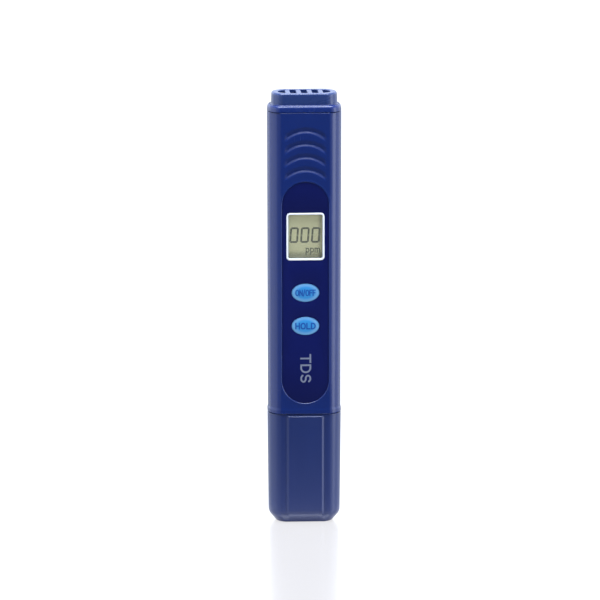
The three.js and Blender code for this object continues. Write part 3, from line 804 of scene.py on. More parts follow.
def liquid_crystal(name, base, lens):
    """Reflective display behind its window: a brushed reflector, with painted shade that darkens it from its
    top down to its foot and at its right side, and a darker band just below its top.
    """
    g = Graph(name)
    x, _, z = g.axes()
    reflector = g.noise(0.09, 3, 0.6, stretch=(12, 1, 1))
    up = ((z - lens.low[2]) / lens.size[2]).clamped()
    right = ((x - lens.low[0]) / lens.size[0]).clamped()
    # Painted shade: darker at the foot and the right side, and paler upwards; the band below the top is just
    # darker.
    shade = (up.step(0.20, 0.05) * 0.72 + right.step(0.85, 0.95) * 0.42).clamped()
    dark_top_band = up.step(0.93, 0.97)
    tone = g.mix(up, scaled(base, 0.92), scaled(base, 1.14))
    tone = g.mix(reflector * 0.35, tone, scaled(base, 0.88))
    tone = g.mix(shade, tone, scaled(base, 0.28))
    tone = g.mix(dark_top_band * 0.25, tone, scaled(base, 0.5))
    return g.set(
        Base_Color=tone,
        Roughness=0.42 + reflector * 0.12,
        Specular_IOR_Level=0.3,
        Normal=g.bump(reflector, 0.002),
    )


def clear_window(name):
    """Thin acrylic window: nearly clear, polished, with faint dust and hairlines."""
    g = Graph(name)
    dust = g.cells(0.8).step(0.07, 0.03) * g.noise(2.5, 2).step(0.5, 0.6)
    hairlines = g.noise(0.05, 2, stretch=(1, 1, 30)).step(0.72, 0.8)
    return g.set(
        Base_Color=g.mix(dust, (0.30, 0.31, 0.26), (0.6, 0.6, 0.58)),
        Roughness=0.06 + hairlines * 0.12,
        Alpha=0.07 + dust * 0.2 + hairlines * 0.03,
        Normal=g.bump(g.noise(4, 2), 0.004),
    )


def metal(name, base, roughness, lines=(40, 1, 1), line_mm=0.04, tint=0.08):
    """Drawn or turned metal: fine lines along its length, with faint staining."""
    g = Graph(name)
    brushed = g.noise(line_mm, 3, 0.6, stretch=lines)
    stain = g.noise(1.8, 4, 0.6)
    return g.set(
        Base_Color=g.mix(stain, scaled(base, 1 - tint), scaled(base, 1 + tint)),
        Metallic=1.0,
        Roughness=roughness + brushed * 0.14 + stain * 0.06,
        Normal=g.bump(brushed, 0.0012),
    )


def rubber(name, base):
    """Silicone rubber: matt, with a powdery bloom."""
    g = Graph(name)
    bloom = g.noise(0.7, 4, 0.65)
    return g.set(
        Base_Color=g.mix(bloom * 0.5, base, bleached(base, 1.3)),
        Roughness=0.62 + bloom * 0.16,
        Specular_IOR_Level=0.4,
        Normal=g.bump(g.noise(0.12, 3), 0.003),
    )


def board_laminate(name):
    """Glass-epoxy board under green solder mask, with a faint weave, copper tracks and tinned pads."""
    g = Graph(name)
    x, _, z = g.axes()
    weave = (x * 12.0).wave() * 0.5 + (z * 12.0).wave() * 0.5
    tracks = g.cells(3.1, "DISTANCE_TO_EDGE", (1, 1, 0.6)).step(0.09, 0.06)
    pads = g.cells(2.6).step(0.17, 0.14)
    tone = g.mix(weave * 0.3, (0.010, 0.085, 0.035), (0.016, 0.12, 0.05))
    tone = g.mix(tracks * 0.6, tone, (0.03, 0.19, 0.08))
    tone = g.mix(pads, tone, (0.62, 0.60, 0.56))
    return g.set(
        Base_Color=tone,
        Metallic=pads * 0.9,
        Roughness=0.34 + weave * 0.06,
        Normal=g.bump(tracks * 0.5 + pads * 0.5 + weave * 0.1, 0.03),
    )


def silvered_film(name, label):
    """Plain silvered label: brushed along its height, with a thin printed border and rules."""
    g = Graph(name)
    x, _, z = g.axes()
    up = z - label.middle[2]
    brushed = g.noise(0.05, 3, 0.6, stretch=(1, 1, 50))
    edge = ((x - label.middle[0]).size() - label.half[0]).larger(up.size() - label.half[2])
    border = edge.step(-0.95, -0.90) * edge.step(-0.60, -0.65)
    rule_pitch = 5.2
    rules = up.zigzag(rule_pitch / 2).step(0.12, 0.07) * edge.step(-2.0, -2.1)
    tone = g.mix(brushed, (0.46, 0.48, 0.51), (0.58, 0.60, 0.63))
    tone = g.mix((border + rules).clamped() * 0.85, tone, (0.03, 0.05, 0.12))
    return g.set(
        Base_Color=tone, Metallic=0.25, Roughness=0.38 + brushed * 0.12, Normal=g.bump(brushed, 0.0012)
    )


def studio_floor(name):
    """Seamless white sheet that glows evenly, with a faint soft mirror of what stands on it."""
    g = Graph(name)
    paper = g.noise(60, 2)
    g.set(
        Base_Color=g.mix(paper, (0.045, 0.045, 0.047), (0.055, 0.055, 0.056)),
        Roughness=0.9,
        Specular_IOR_Level=0.0,
        Emission_Color=g.mix(paper, (0.995, 0.980, 0.975), (1.0, 0.985, 0.980)),
        Emission_Strength=1.03,
    )
    mirror = g.node("ShaderNodeBsdfAnisotropic", {}, Color=(1.0, 1.0, 1.0), Roughness=0.22)
    sheet = Value(g, g.shader.outputs[0])
    blend = g.node("ShaderNodeMixShader", {}, 0.30, sheet, mirror)
    g.tree.links.new(blend.socket, g.tree.nodes["Material Output"].inputs["Surface"])
    return g.material


MADE_FINISHES = {}


def finish(name):
    """The named finish, made once and shared by the pieces that have it."""
    tones = bpy.context.scene.tester_finish
    # Painted light: the battery cap's crown pales above its shoulder.
    crown_painted_light = (HEIGHT - 4.2, HEIGHT - 3.4, tones.crown)
    # Painted reflection: the probe cap pales from z 34 down to z 2, towards the floor mirrored in it.
    foot_fade = (34, 2, tones.cap_foot_painted_reflection)
    makers = {
        "housing_plastic": (moulded_plastic, tones.housing, 0.24, 0.46),
        "lid_plastic": (moulded_plastic, tones.housing, 0.26, 0.46, crown_painted_light),
        "cap_plastic": (moulded_plastic, tones.cap, 0.30, 0.42, foot_fade),
        "black_plastic": (moulded_plastic, (0.012, 0.012, 0.014), 0.42, 0.4, None, 0.12, 0.004),
        "bezel_plastic": (moulded_plastic, tones.bezel, 0.28, 0.45, None, 0.1, 0.001, 0.4),
        "panel_ink": (printed_ink, tones.panel_ink),
        "legend_ink": (printed_ink, tones.legend),
        "display_marks": (printed_ink, tones.segments, 0.45),
        "window": (clear_window,),
        "steel": (metal, (0.62, 0.63, 0.65), 0.22),
        "cell_steel": (metal, (0.72, 0.72, 0.70), 0.18, (1, 30, 30), 0.05),
        "titanium": (metal, (0.42, 0.40, 0.38), 0.28, (14, 14, 1), 0.05, 0.14),
        "grey_rubber": (rubber, (0.05, 0.05, 0.055)),
        "red_rubber": (rubber, (0.35, 0.02, 0.015)),
        "white_rubber": (rubber, (0.62, 0.60, 0.56)),
        "board": (board_laminate,),
    }
    if name not in MADE_FINISHES:
        maker, *looks = makers[name]
        MADE_FINISHES[name] = maker(name, *looks)
    return MADE_FINISHES[name]


# ---- operators ----


class PieceOperator(bpy.types.Operator):
    """Shared settings of the operators that make the tester's pieces."""

    bl_options = {"REGISTER", "UNDO"}

    @property
    def shape(self):
        return bpy.context.scene.tester_shape

    @property
    def tones(self):
        return bpy.context.scene.tester_finish


def housing_sizes(z):
    """Half width and half depth of the housing at each z.

    The width tapers in a straight line towards the probe. A lip swells in a smooth hump just above the probe
    cap, and the last fraction of a millimetre at each end is rounded off.
    """
    share = (z - PROBE_SEAM) / (HOUSING_HEAD - PROBE_SEAM)
    half_x = FOOT_HALF_WIDTH + share * (HALF_WIDTH - FOOT_HALF_WIDTH)
    lip_height, lip_rise, lip_top, lip_fall = 0.2, 0.5, 2.1, 0.9
    up = z - HOUSING_FOOT
    lip = lip_height * smooth_step(up / lip_rise + 0.5) * smooth_step((lip_top - up) / lip_fall)
    round_off = 0.12
    foot = np.clip(1 - up / round_off, 0, 1) ** 2
    head = np.clip(1 - (HOUSING_HEAD - z) / round_off, 0, 1) ** 2
    inset = round_off * (foot + head)
    return half_x + lip - inset, HALF_DEPTH + lip / 3 - inset


def stadium_distance(x, z, half_width, low, high):
    """How far a point is outside an upright stadium: the distance to its middle line, less half its width."""
    middle = np.clip(z, low + half_width, high - half_width)
    return np.hypot(x, z - middle) - half_width


def front_relief(x, z, shape):
    """How far the front sinks at each point: the display panel and the thumb grip.

    The panel drops over a smooth lip just inside its outline, and a low bead stands round it, where the
    mould's insert met the cavity. Each grip groove follows a circle: its floor slopes in as it nears the
    circle from outside, then a narrow ledge brings it back to the face.
    """
    edge = stadium_distance(x, z, PANEL_HALF_WIDTH, PANEL_FOOT, PANEL_HEAD)
    wall_start = 0.06
    depth = shape.panel_depth * smooth_step((wall_start - edge) / shape.lip_width)
    bead_height, bead_place, bead_width = 0.07, 0.32, 0.22
    depth = depth - bead_height * np.exp(-(((edge - bead_place) / bead_width) ** 2))
    fade = smooth_step((GRIP_HALF_WIDTH - np.abs(x)) / GRIP_END)
    for i in range(GRIP_ARCS):
        centre = GRIP_TOP - i * GRIP_PITCH - GRIP_RADIUS
        beyond = np.where(z > centre, np.hypot(x, z - centre) - GRIP_RADIUS, 99)
        floor = np.clip((GRIP_RAMP - beyond) / (GRIP_RAMP - GRIP_LEDGE), 0, 1)
        depth = depth + shape.groove_depth * floor**1.25 * smooth_step(beyond / GRIP_LEDGE) * fade
    return depth


def rear_relief(x, z):
    """How far the back sinks: a shallow bed for the label and a cone round the trimmer's access hole."""
    corner, bed_depth, bed_wall = 1.5, 0.4, 0.2
    beyond_x = np.maximum(np.abs(x) - (REAR_LABEL.high[0] + LABEL_GAP - corner), 0)
    beyond_z = np.maximum(np.abs(z - REAR_LABEL.middle[2]) - (REAR_LABEL.half[2] + LABEL_GAP - corner), 0)
    edge = np.hypot(beyond_x, beyond_z) - corner
    bed = bed_depth * smooth_step((0.05 - edge) / bed_wall)
    cone_radius, cone_depth = 2.9, 1.15
    return bed + np.clip(cone_radius - np.hypot(x, z - TRIMMER_Z), 0, cone_depth)


def shell_grids(columns, z, relief):
    """Outer and inner grids of one housing shell. relief(x, z) sinks the flat face."""
    z = z[:, None]
    half_x, half_y = housing_sizes(z)
    outer_x, outer_y = columns.place(half_x, half_y, half_x - FLAT_HALF_WIDTH, half_y - SIDE_HALF_FLAT)
    facing = np.sign(columns.bend[1])  # -1 on the front, 1 on the back, 0 on the sides
    on_face = np.abs(outer_y) > 0.8 * half_y
    outer_y = outer_y - facing * np.where(on_face, relief(outer_x, z), 0)
    inner_flat = FLAT_HALF_WIDTH - 0.6
    inner_x, inner_y = columns.place(
        half_x - WALL, half_y - WALL, half_x - WALL - inner_flat, half_y - WALL - SIDE_HALF_FLAT
    )
    outer = np.stack([outer_x, outer_y, z + 0 * outer_x], axis=-1)
    inner = np.stack([inner_x, inner_y, z + 0 * inner_x], axis=-1)
    # The two edges along the parting line are rounded over.
    outer[:, [0, -1], 0] *= 1 - 0.1 / HALF_WIDTH
    return outer, inner


def cell_centres(grid):
    """Middle x and z of each cell of a grid."""
    middle = (grid[:-1, :-1] + grid[1:, :-1] + grid[:-1, 1:] + grid[1:, 1:]) / 4
    return middle[..., 0], middle[..., 2]


class TESTER_OT_front_shell(PieceOperator):
    """Front shell: the flat face with its thumb grip and sunken panel, and the rounded sides"""

    bl_idname = "tester.front_shell"
    bl_label = "Front shell"

    def execute(self, context):
        half, panel_side = FLAT_HALF_WIDTH, 6.4
        flat = even_steps(-half, (-panel_side, 0.13), (panel_side, 0.3), (half, 0.13)) / half
        side = np.array([0.985, 0.86, 0.5, 0.0, -1.0])
        columns = Columns(
            side_part(side, -1),
            corner_part(self.shape.crease, 16, -1, -1, False),
            face_part(flat, -1),
            corner_part(self.shape.crease, 16, 1, -1, True),
            side_part(side[::-1], 1),
        )
        z = even_steps(
            HOUSING_FOOT,
            (HOUSING_FOOT + 0.2, 0.05),
            (HOUSING_FOOT + 2.2, 0.2),
            (PANEL_FOOT - 0.7, 0.5),
            (PANEL_FOOT + 3.2, 0.12),
            (PANEL_FOOT + PANEL_HALF_WIDTH, 0.25),
            (PANEL_HEAD - PANEL_HALF_WIDTH, 0.9),
            (PANEL_HEAD - 3.2, 0.25),
            (PANEL_HEAD + 0.7, 0.12),
            (GRIP_TOP + GRIP_RAMP + 0.2, 0.135),
            (HOUSING_HEAD - 0.5, 0.6),
            (HOUSING_HEAD, 0.05),
        )
        outer, inner = shell_grids(columns, z, lambda x, z: front_relief(x, z, self.shape))
        x, middle_z = cell_centres(outer)
        gap = 0.6
        in_height = np.abs(middle_z - BEZEL.middle[2]) < BEZEL.half[2] + gap
        opening = in_height & (np.abs(x) < BEZEL.high[0] + gap)
        for button in map(span, BUTTONS):
            opening |= np.hypot(x / button.high[0], (middle_z - button.middle[2]) / button.half[2]) < 1
        keep = ~(opening & (np.abs(x) < half))
        make_piece(
            "housing_front", shell(outer, inner, keep), finish("housing_plastic"), ["front_shell"],
            weld=False,
        )
        return {"FINISHED"}


class TESTER_OT_rear_shell(PieceOperator):
    """Rear shell: the plain back with a bed for its label and an access hole for the trimmer"""

    bl_idname = "tester.rear_shell"
    bl_label = "Rear shell"

    def execute(self, context):
        edge, half = REAR_LABEL.high[0] + LABEL_GAP, FLAT_HALF_WIDTH
        cone_x, cone_z = 3.1, 3.2
        flat = even_steps(
            -half, (-edge - 0.1, 0.3), (-edge + 0.2, 0.06), (-cone_x, 0.5), (cone_x, 0.2), (edge - 0.2, 0.5),
            (edge + 0.1, 0.06), (half, 0.3),
        ) / half
        side = np.array([1.0, 1.12])
        columns = Columns(
            side_part(side, 1),
            corner_part(self.shape.crease, 18, 1, 1, False),
            face_part(-flat, 1),
            corner_part(self.shape.crease, 18, -1, 1, True),
            side_part(side[::-1], -1),
        )
        low, high = REAR_LABEL.low[2] - LABEL_GAP, REAR_LABEL.high[2] + LABEL_GAP
        z = even_steps(
            HOUSING_FOOT,
            (HOUSING_FOOT + 0.2, 0.05),
            (HOUSING_FOOT + 2.2, 0.2),
            (TRIMMER_Z - cone_z, 2.0),
            (TRIMMER_Z + cone_z, 0.2),
            (low - 0.1, 1.5),
            (low + 0.3, 0.06),
            (low + 2, 0.2),
            (high - 2, 2.0),
            (high - 0.3, 0.2),
            (high + 0.1, 0.06),
            (HOUSING_HEAD - 0.5, 2.0),
            (HOUSING_HEAD, 0.05),
        )
        outer, inner = shell_grids(columns, z, rear_relief)
        # Points near the hole's edge move onto it, so that the hole is round.
        hole, reach_in = 1.7, 0.11
        for grid in (outer, inner):
            x, above = grid[..., 0], grid[..., 2] - TRIMMER_Z
            reach = np.hypot(x, above)
            near = (np.abs(reach - hole) < reach_in) & (np.abs(columns.flat[0]) < 1)
            scale = np.where(near, hole / np.maximum(reach, 0.01), 1)
            grid[..., 0] *= scale
            grid[..., 2] = TRIMMER_Z + above * scale
        x, middle_z = cell_centres(outer)
        keep = np.hypot(x, middle_z - TRIMMER_Z) > hole
        make_piece(
            "housing_rear", shell(outer, inner, keep), finish("housing_plastic"), ["rear_shell"],
            weld=False,
        )
        return {"FINISHED"}


def button_face(node):
    """Centre height, half sizes and front face of a button's head, from its CAD node."""
    low, high, middle, _, half = span(node)
    return middle[2], high[0] - BUTTON_FLANGE, half[2] - BUTTON_FLANGE, low[1]


class TESTER_OT_labels(PieceOperator):
    """Labels: the navy film in the display panel, its letters, and the plain silvered label on the back"""

    bl_idname = "tester.labels"
    bl_label = "Labels"

    def execute(self, context):
        self.panel_film()
        self.panel_letters()
        self.back_label()
        return {"FINISHED"}

    def panel_film(self):
        """The navy film, with a hole for the display's border and one for each button."""
        half_width = LABEL.high[0]
        outline = rounded_rectangle(half_width, LABEL.half[2], half_width - 0.1, (0, LABEL.middle[2]), 32)
        border_gap, button_gap = 0.1, 0.12
        half_x, half_z = BEZEL.high[0] + border_gap, BEZEL.half[2] + border_gap
        holes = [rounded_rectangle(half_x, half_z, 1.4, (0, BEZEL.middle[2]))]
        for centre_z, half_x, half_z, _ in map(button_face, BUTTONS):
            holes.append(ellipse_outline(half_x + button_gap, half_z + button_gap, (0, centre_z)))
        film = printed_film("navy_film", self.tones.label, LABEL)
        solid = plate(outline, holes, LABEL.size[1], 0.08)
        make_piece("panel_film", on_front(solid, LABEL.high[1]), film, ["face_label"])

    def panel_letters(self):
        """The panel's word. It reads downwards, with the tops of its letters to the right."""
        height, gap, stretch, pen, centre_z = 3.15, 0.30, 1.14, 0.58, 53.8
        strokes = [
            np.stack([stroke[:, 1], centre_z - stretch * stroke[:, 0]], axis=-1)
            for stroke in word_strokes("TDS", height, gap)
        ]
        solid = on_front(ink_marks(strokes, pen, flat_face, self.shape.ink), LABEL.low[1], 0.1)
        make_piece("panel_letters", solid, finish("panel_ink"), [], weld=False)

    def back_label(self):
        """The plain label on the back."""
        outline = rounded_rectangle(REAR_LABEL.high[0], REAR_LABEL.half[2], 1.35, (0, REAR_LABEL.middle[2]))
        solid = in_place(plate(outline, [], REAR_LABEL.size[1], 0.06), FACING_BACK, (0, REAR_LABEL.low[1], 0))
        film = silvered_film("silver_film", REAR_LABEL)
        make_piece("back_label", solid, film, ["rear_label"])


class TESTER_OT_display(PieceOperator):
    """Display: its white border, the clear window, the reflective panel and the marks that it shows"""

    bl_idname = "tester.display"
    bl_label = "Display"

    def execute(self, context):
        self.border()
        self.window()
        refinish("display_glass", liquid_crystal("liquid_crystal", self.tones.display, LENS))
        self.marks()
        return {"FINISHED"}

    def border(self):
        """A closed profile carried round the window: a round-nosed bar, deeper than it is wide."""
        outline = rounded_rectangle(BEZEL.high[0], BEZEL.half[2], 1.3, (0, BEZEL.middle[2]), 14)
        bar, depth = 0.62, BEZEL.size[1]
        nose_height = 0.42 * bar
        turn = np.linspace(0, math.pi, 9)
        nose = np.stack([bar / 2 * (np.cos(turn) - 1), depth - nose_height * (1 - np.sin(turn))], axis=-1)
        points = edge_wall(outline, [(0, 0), *nose, (-bar, 0)])
        solid = on_front((points, grid_quads(*points.shape[:2], closed_rows=True)), BEZEL.high[1])
        make_piece("display_border", solid, finish("bezel_plastic"), ["display_bezel"])

    def window(self):
        """The clear window, a plate with a rounded front edge."""
        outline = rounded_rectangle(LENS.high[0], LENS.half[2], 0.7, (0, LENS.middle[2]))
        solid = on_front(plate(outline, [], LENS.size[1], 0.12), LENS.high[1])
        make_piece("display_window", solid, finish("window"), ["display_lens"])

    def marks(self):
        """Three noughts of six bars each, leaning a little, and the unit below them."""
        half_w, half_h, gap = 1.175, 2.375, 0.40
        lean, pitch, centre_x, centre_z = 0.07, 3.70, -0.1, BEZEL.middle[2] + 0.35
        upright = [line((x, s * gap), (x, s * (half_h - gap))) for x in (-half_w, half_w) for s in (1, -1)]
        level = [line((-half_w + gap, y), (half_w - gap, y)) for y in (-half_h, half_h)]
        digits = []
        for digit in (-1, 0, 1):
            for bar in upright + level:
                x = bar[:, 0] + lean * bar[:, 1] + digit * pitch + centre_x
                digits.append(np.stack([x, bar[:, 1] + centre_z], axis=-1))
        unit = [stroke + (2.6, BEZEL.middle[2] - 4.6) for stroke in word_strokes("ppm", 1.9, 0.28)]
        ink = 0.02
        inked = [ink_marks(strokes, pen, flat_face, ink) for strokes, pen in ((digits, 0.64), (unit, 0.35))]
        solid = on_front(joined(inked), span("display_glass").low[1])
        make_piece("display_marks", solid, finish("display_marks"), [], weld=False)


class TESTER_OT_buttons(PieceOperator):
    """Buttons: two oval crowned heads with their flanges, stems and printed words"""

    bl_idname = "tester.buttons"
    bl_label = "Buttons"
    word_height = 1.85
    word_half = 3.3  # both words are fitted to the same width
    edge_width, edge_height = 0.15, 0.05  # the rounding between a button's side and its crown

    def execute(self, context):
        for node, word, pen in zip(BUTTONS, ("ON/OFF", "HOLD"), (0.38, 0.44)):
            centre_z, half_x, half_z, front = button_face(node)
            back = span(node).high[1]
            depth = back - front
            paint = button_rubber(node + "_rubber", self.tones.button, centre_z, half_x, half_z)
            head = on_front(self.head(half_x, half_z, depth), back, 0, centre_z)
            make_piece(node + "_head", head, paint, [node], node)
            rim_x, rim_z = half_x - self.edge_width, half_z - self.edge_width
            legend = on_front(self.legend(word, pen, rim_x, rim_z, depth), back, 0, centre_z)
            make_piece(node + "_word", legend, finish("legend_ink"), [], node, weld=False)
        return {"FINISHED"}

    def head(self, half_x, half_z, depth):
        """Ovals stacked from the stem's end, through the flange, to the crown."""
        stem, flange_depth, flange_thickness = 1.5, 1.85, 0.8
        flange_front = depth - flange_depth
        flange_back = flange_front - flange_thickness
        brim = depth - self.shape.button_crown - self.edge_height
        rings = [
            (0, 0, 0),
            (0, stem, stem),
            (flange_back, stem, stem),
            (flange_back, half_x + BUTTON_FLANGE, half_z + BUTTON_FLANGE),
            (flange_front, half_x + BUTTON_FLANGE, half_z + BUTTON_FLANGE),
            (flange_front, half_x, half_z),
            (brim, half_x, half_z),
        ]
        side = rounded([(z, a, b, a, b) for z, a, b in rings], [0, 0.1, 0, 0.15, 0.15, 0, 0])
        turn = np.linspace(0, math.pi / 2, 6)[1:]
        inset = self.edge_width * (1 - np.cos(turn))
        edge = (brim + self.edge_height * np.sin(turn), half_x - inset, half_z - inset)
        reach = np.linspace(1, 0, 12)[1:]
        rim_x, rim_z = half_x - self.edge_width, half_z - self.edge_width
        dome = (self.dome_height(reach, depth), rim_x * reach, rim_z * reach)
        top = [np.stack([z, a, b, a, b], axis=-1) for z, a, b in (edge, dome)]
        points = loft(np.concatenate([side, *top]), oval_columns())
        return points, grid_quads(*points.shape[:2])

    def legend(self, word, pen, rim_x, rim_z, depth):
        """A word that lies on the crown."""
        strokes = word_strokes(word, self.word_height, 0.32)
        widest = max(stroke[:, 0].max() for stroke in strokes)
        strokes = [stroke * (self.word_half / widest, 1) for stroke in strokes]

        def height_of(x, y):
            return self.dome_height(np.hypot(x / rim_x, y / rim_z), depth)

        return ink_marks(strokes, pen, height_of, self.shape.ink)

    def dome_height(self, reach, depth):
        """The crown's height, which falls as the square of the reach from its middle to its rim."""
        return depth - self.shape.button_crown * reach**2


class TESTER_OT_battery_cap(PieceOperator):
    """Battery cap: a shoulder ring, a narrower crown with a ribbed oval well, and the skirt that plugs in"""

    bl_idname = "tester.battery_cap"
    bl_label = "Battery cap"

    def execute(self, context):
        foot, skirt_foot = HOUSING_HEAD + 0.16, BATTERY_CAP.low[2]
        shoulder, ceiling, well_floor = HEIGHT - 4.15, HEIGHT - 5.3, HEIGHT - 3.3
        corner = (HALF_WIDTH - FLAT_HALF_WIDTH, HALF_DEPTH - SIDE_HALF_FLAT)
        skirt_x, skirt_y, skirt_corner = HALF_WIDTH - 1.7, HALF_DEPTH - 1.75, (3.2, 5.5)
        inside_x, inside_y, inside_corner = skirt_x - 1, skirt_y - 1, (2.6, 4.8)
        crown_x, crown_y, crown_corner = 11.25, 6.3, (4.4, 5.5)
        well_x, well_y, well_corner = 8.95, 4.5, (4.6, 4.3)
        slope, draft = 0.15, 0.1
        stations = [
            (ceiling, 0, 0, 0, 0),
            (ceiling, inside_x, inside_y, *inside_corner),
            (skirt_foot, inside_x, inside_y, *inside_corner),
            (skirt_foot, skirt_x, skirt_y, *skirt_corner),
            (foot, skirt_x, skirt_y, *skirt_corner),
            (foot, HALF_WIDTH, HALF_DEPTH, *corner),
            (shoulder, HALF_WIDTH - slope, HALF_DEPTH - slope, *corner),
            (shoulder, crown_x, crown_y, *crown_corner),
            (HEIGHT, crown_x - draft, crown_y - draft, *crown_corner),
            (HEIGHT, well_x, well_y, *well_corner),
            (well_floor, well_x - draft, well_y - draft, *well_corner),
            (well_floor, 0, 0, 0, 0),
        ]
        radii = [0, 0.3, 0.2, 0.2, 0.15, 0.16, 1.2, 0.35, 0.75, 0.28, 0.3, 0]
        parts = [lofted(stations, radii, ring_columns(np.linspace(-1, 1, 25), 0.0, 18), 6)]
        ribs, pitch, slot_width = 4, 3.75, 2.0
        for i in range(ribs):
            parts.append(self.rib((i - (ribs - 1) / 2) * pitch, (pitch - slot_width) / 2, well_y, well_floor))
        make_piece(
            "battery_lid", joined(parts), finish("lid_plastic"), ["battery_cap"], "battery_cap"
        )
        return {"FINISHED"}

    def rib(self, x, half, well_y, floor):
        """A bar from the front of the well to its back: its section has a rounded top and flared ends."""
        top, radius, flare_share, flare_length, sunk = HEIGHT - 0.12, 0.35, 0.16, 0.8, 0.1
        right = arc(half - radius, top - radius, radius, radius, 0, 90, 5)
        left = right[::-1] * (-1, 1)
        section = np.concatenate([[[half, floor - sunk]], right, left, [[-half, floor - sunk]]])
        reach = well_y + 0.12
        along = even_steps(-reach, (flare_length - reach, 0.2), (reach - flare_length, 1.2), (reach, 0.2))
        flare = 1 + flare_share * (1 - smooth_step((reach - np.abs(along)) / flare_length))
        points = np.empty((len(along), len(section), 3))
        points[..., 0] = x + section[:, 0] * flare[:, None]
        points[..., 1] = along[:, None]
        points[..., 2] = section[:, 1]
        # The ends close on a line down the middle of the section.
        ends = np.array(points)
        ends[..., 0] = x
        points = np.concatenate([ends[:1], points, ends[-1:]])
        return points, grid_quads(*points.shape[:2])[:, ::-1]


class TESTER_OT_probe_cap(PieceOperator):
    """Probe cap: a bevelled tub with a flat pad on its front and back"""

    bl_idname = "tester.probe_cap"
    bl_label = "Probe cap"

    def execute(self, context):
        pad = 0.47  # how far the CAD solid's pads stand proud
        seam_x, seam_y = PROBE_CAP.high[0] + SKIN, PROBE_CAP.high[1] - pad
        foot_x, foot_y = seam_x - 0.38, seam_y - 0.15
        bevel_side, bevel_front, bevel_height = 2.6, 1.9, 3.1
        well_top, well_floor = 5.2, 1.9
        foot_corner_y = foot_y - SIDE_HALF_FLAT
        stations = [
            (0, 0, 0, 0, 0),
            (0, foot_x - bevel_side, foot_y - bevel_front, 2.9, seam_y - SIDE_HALF_FLAT - bevel_front),
            (bevel_height, foot_x, foot_y, foot_x - FLAT_HALF_WIDTH, foot_corner_y),
            (PROBE_SEAM, seam_x, seam_y, seam_x - FLAT_HALF_WIDTH, seam_y - SIDE_HALF_FLAT),
            (PROBE_SEAM, seam_x - 1.6, seam_y - 1.2, 3.3, 4.7),
            (well_top, seam_x - 1.75, seam_y - 1.35, 3.2, 4.6),
            (well_floor, seam_x - 4.2, seam_y - 2.7, 2.0, 3.2),
            (well_floor, 0, 0, 0, 0),
        ]
        path = rounded(stations, [0, 0.3, 0.95, 0.3, 0.2, 0.8, 0.4, 0], 6)
        # Extra rows let the pads fade out over the bevel and end below the seam.
        fade_rows = [0.8, 2.4, 4.0, *(PROBE_SEAM - np.array([0.95, 0.85, 0.45, 0.35]))]
        rising, falling = np.split(path, [int(np.argmax(path[:, 0])) + 1])
        heights = np.union1d(rising[:, 0], fade_rows)
        outside = np.stack([np.interp(heights, rising[:, 0], column) for column in rising.T], axis=-1)
        path = np.concatenate([path[:1], outside, falling])
        half, pad_outer, pad_inner = FLAT_HALF_WIDTH, 6.8, 5.4
        flat = even_steps(
            -half, (-pad_outer, 0.4), (-pad_inner, 0.06), (pad_inner, 1.0), (pad_outer, 0.06), (half, 0.4)
        )
        points = loft(path, ring_columns(flat / half, self.shape.crease, 16))
        points = self.with_pads(points, np.arange(len(path)) < len(heights))
        solid = points, grid_quads(*points.shape[:2])
        make_piece("probe_cover", solid, finish("cap_plastic"), ["probe_cap"], "probe_cap")
        return {"FINISHED"}

    def with_pads(self, points, outer):
        """Raises the pads: a smooth step up at their edges, with a fine groove just outside it.

        The pad fades out in a straight line down the bevel, and only the outer rows are moved.
        """
        edge, edge_width = 6.28, 0.66
        groove_place, groove_width, groove_depth = 6.50, 0.16, 0.10
        foot, foot_fade, head, head_fade = 0.8, 3.2, PROBE_SEAM - 0.45, 0.4
        x, y, z = points[..., 0], points[..., 1], points[..., 2]
        rise = self.shape.pad_height * np.clip((edge - np.abs(x)) / edge_width, 0, 1)
        groove = groove_depth * np.exp(-(((np.abs(x) - groove_place) / groove_width) ** 2))
        fade = np.clip((z - foot) / foot_fade, 0, 1) * np.clip((head - z) / head_fade, 0, 1)
        on_face = np.abs(y) > 0.4 * np.abs(y).max(axis=1, keepdims=True)
        moved = outer[:, None] & on_face & (np.abs(x) < 8.1) & (z > 0.01)
        points[..., 1] = y + np.sign(y) * np.where(moved, (rise - groove) * fade, 0)
        return points


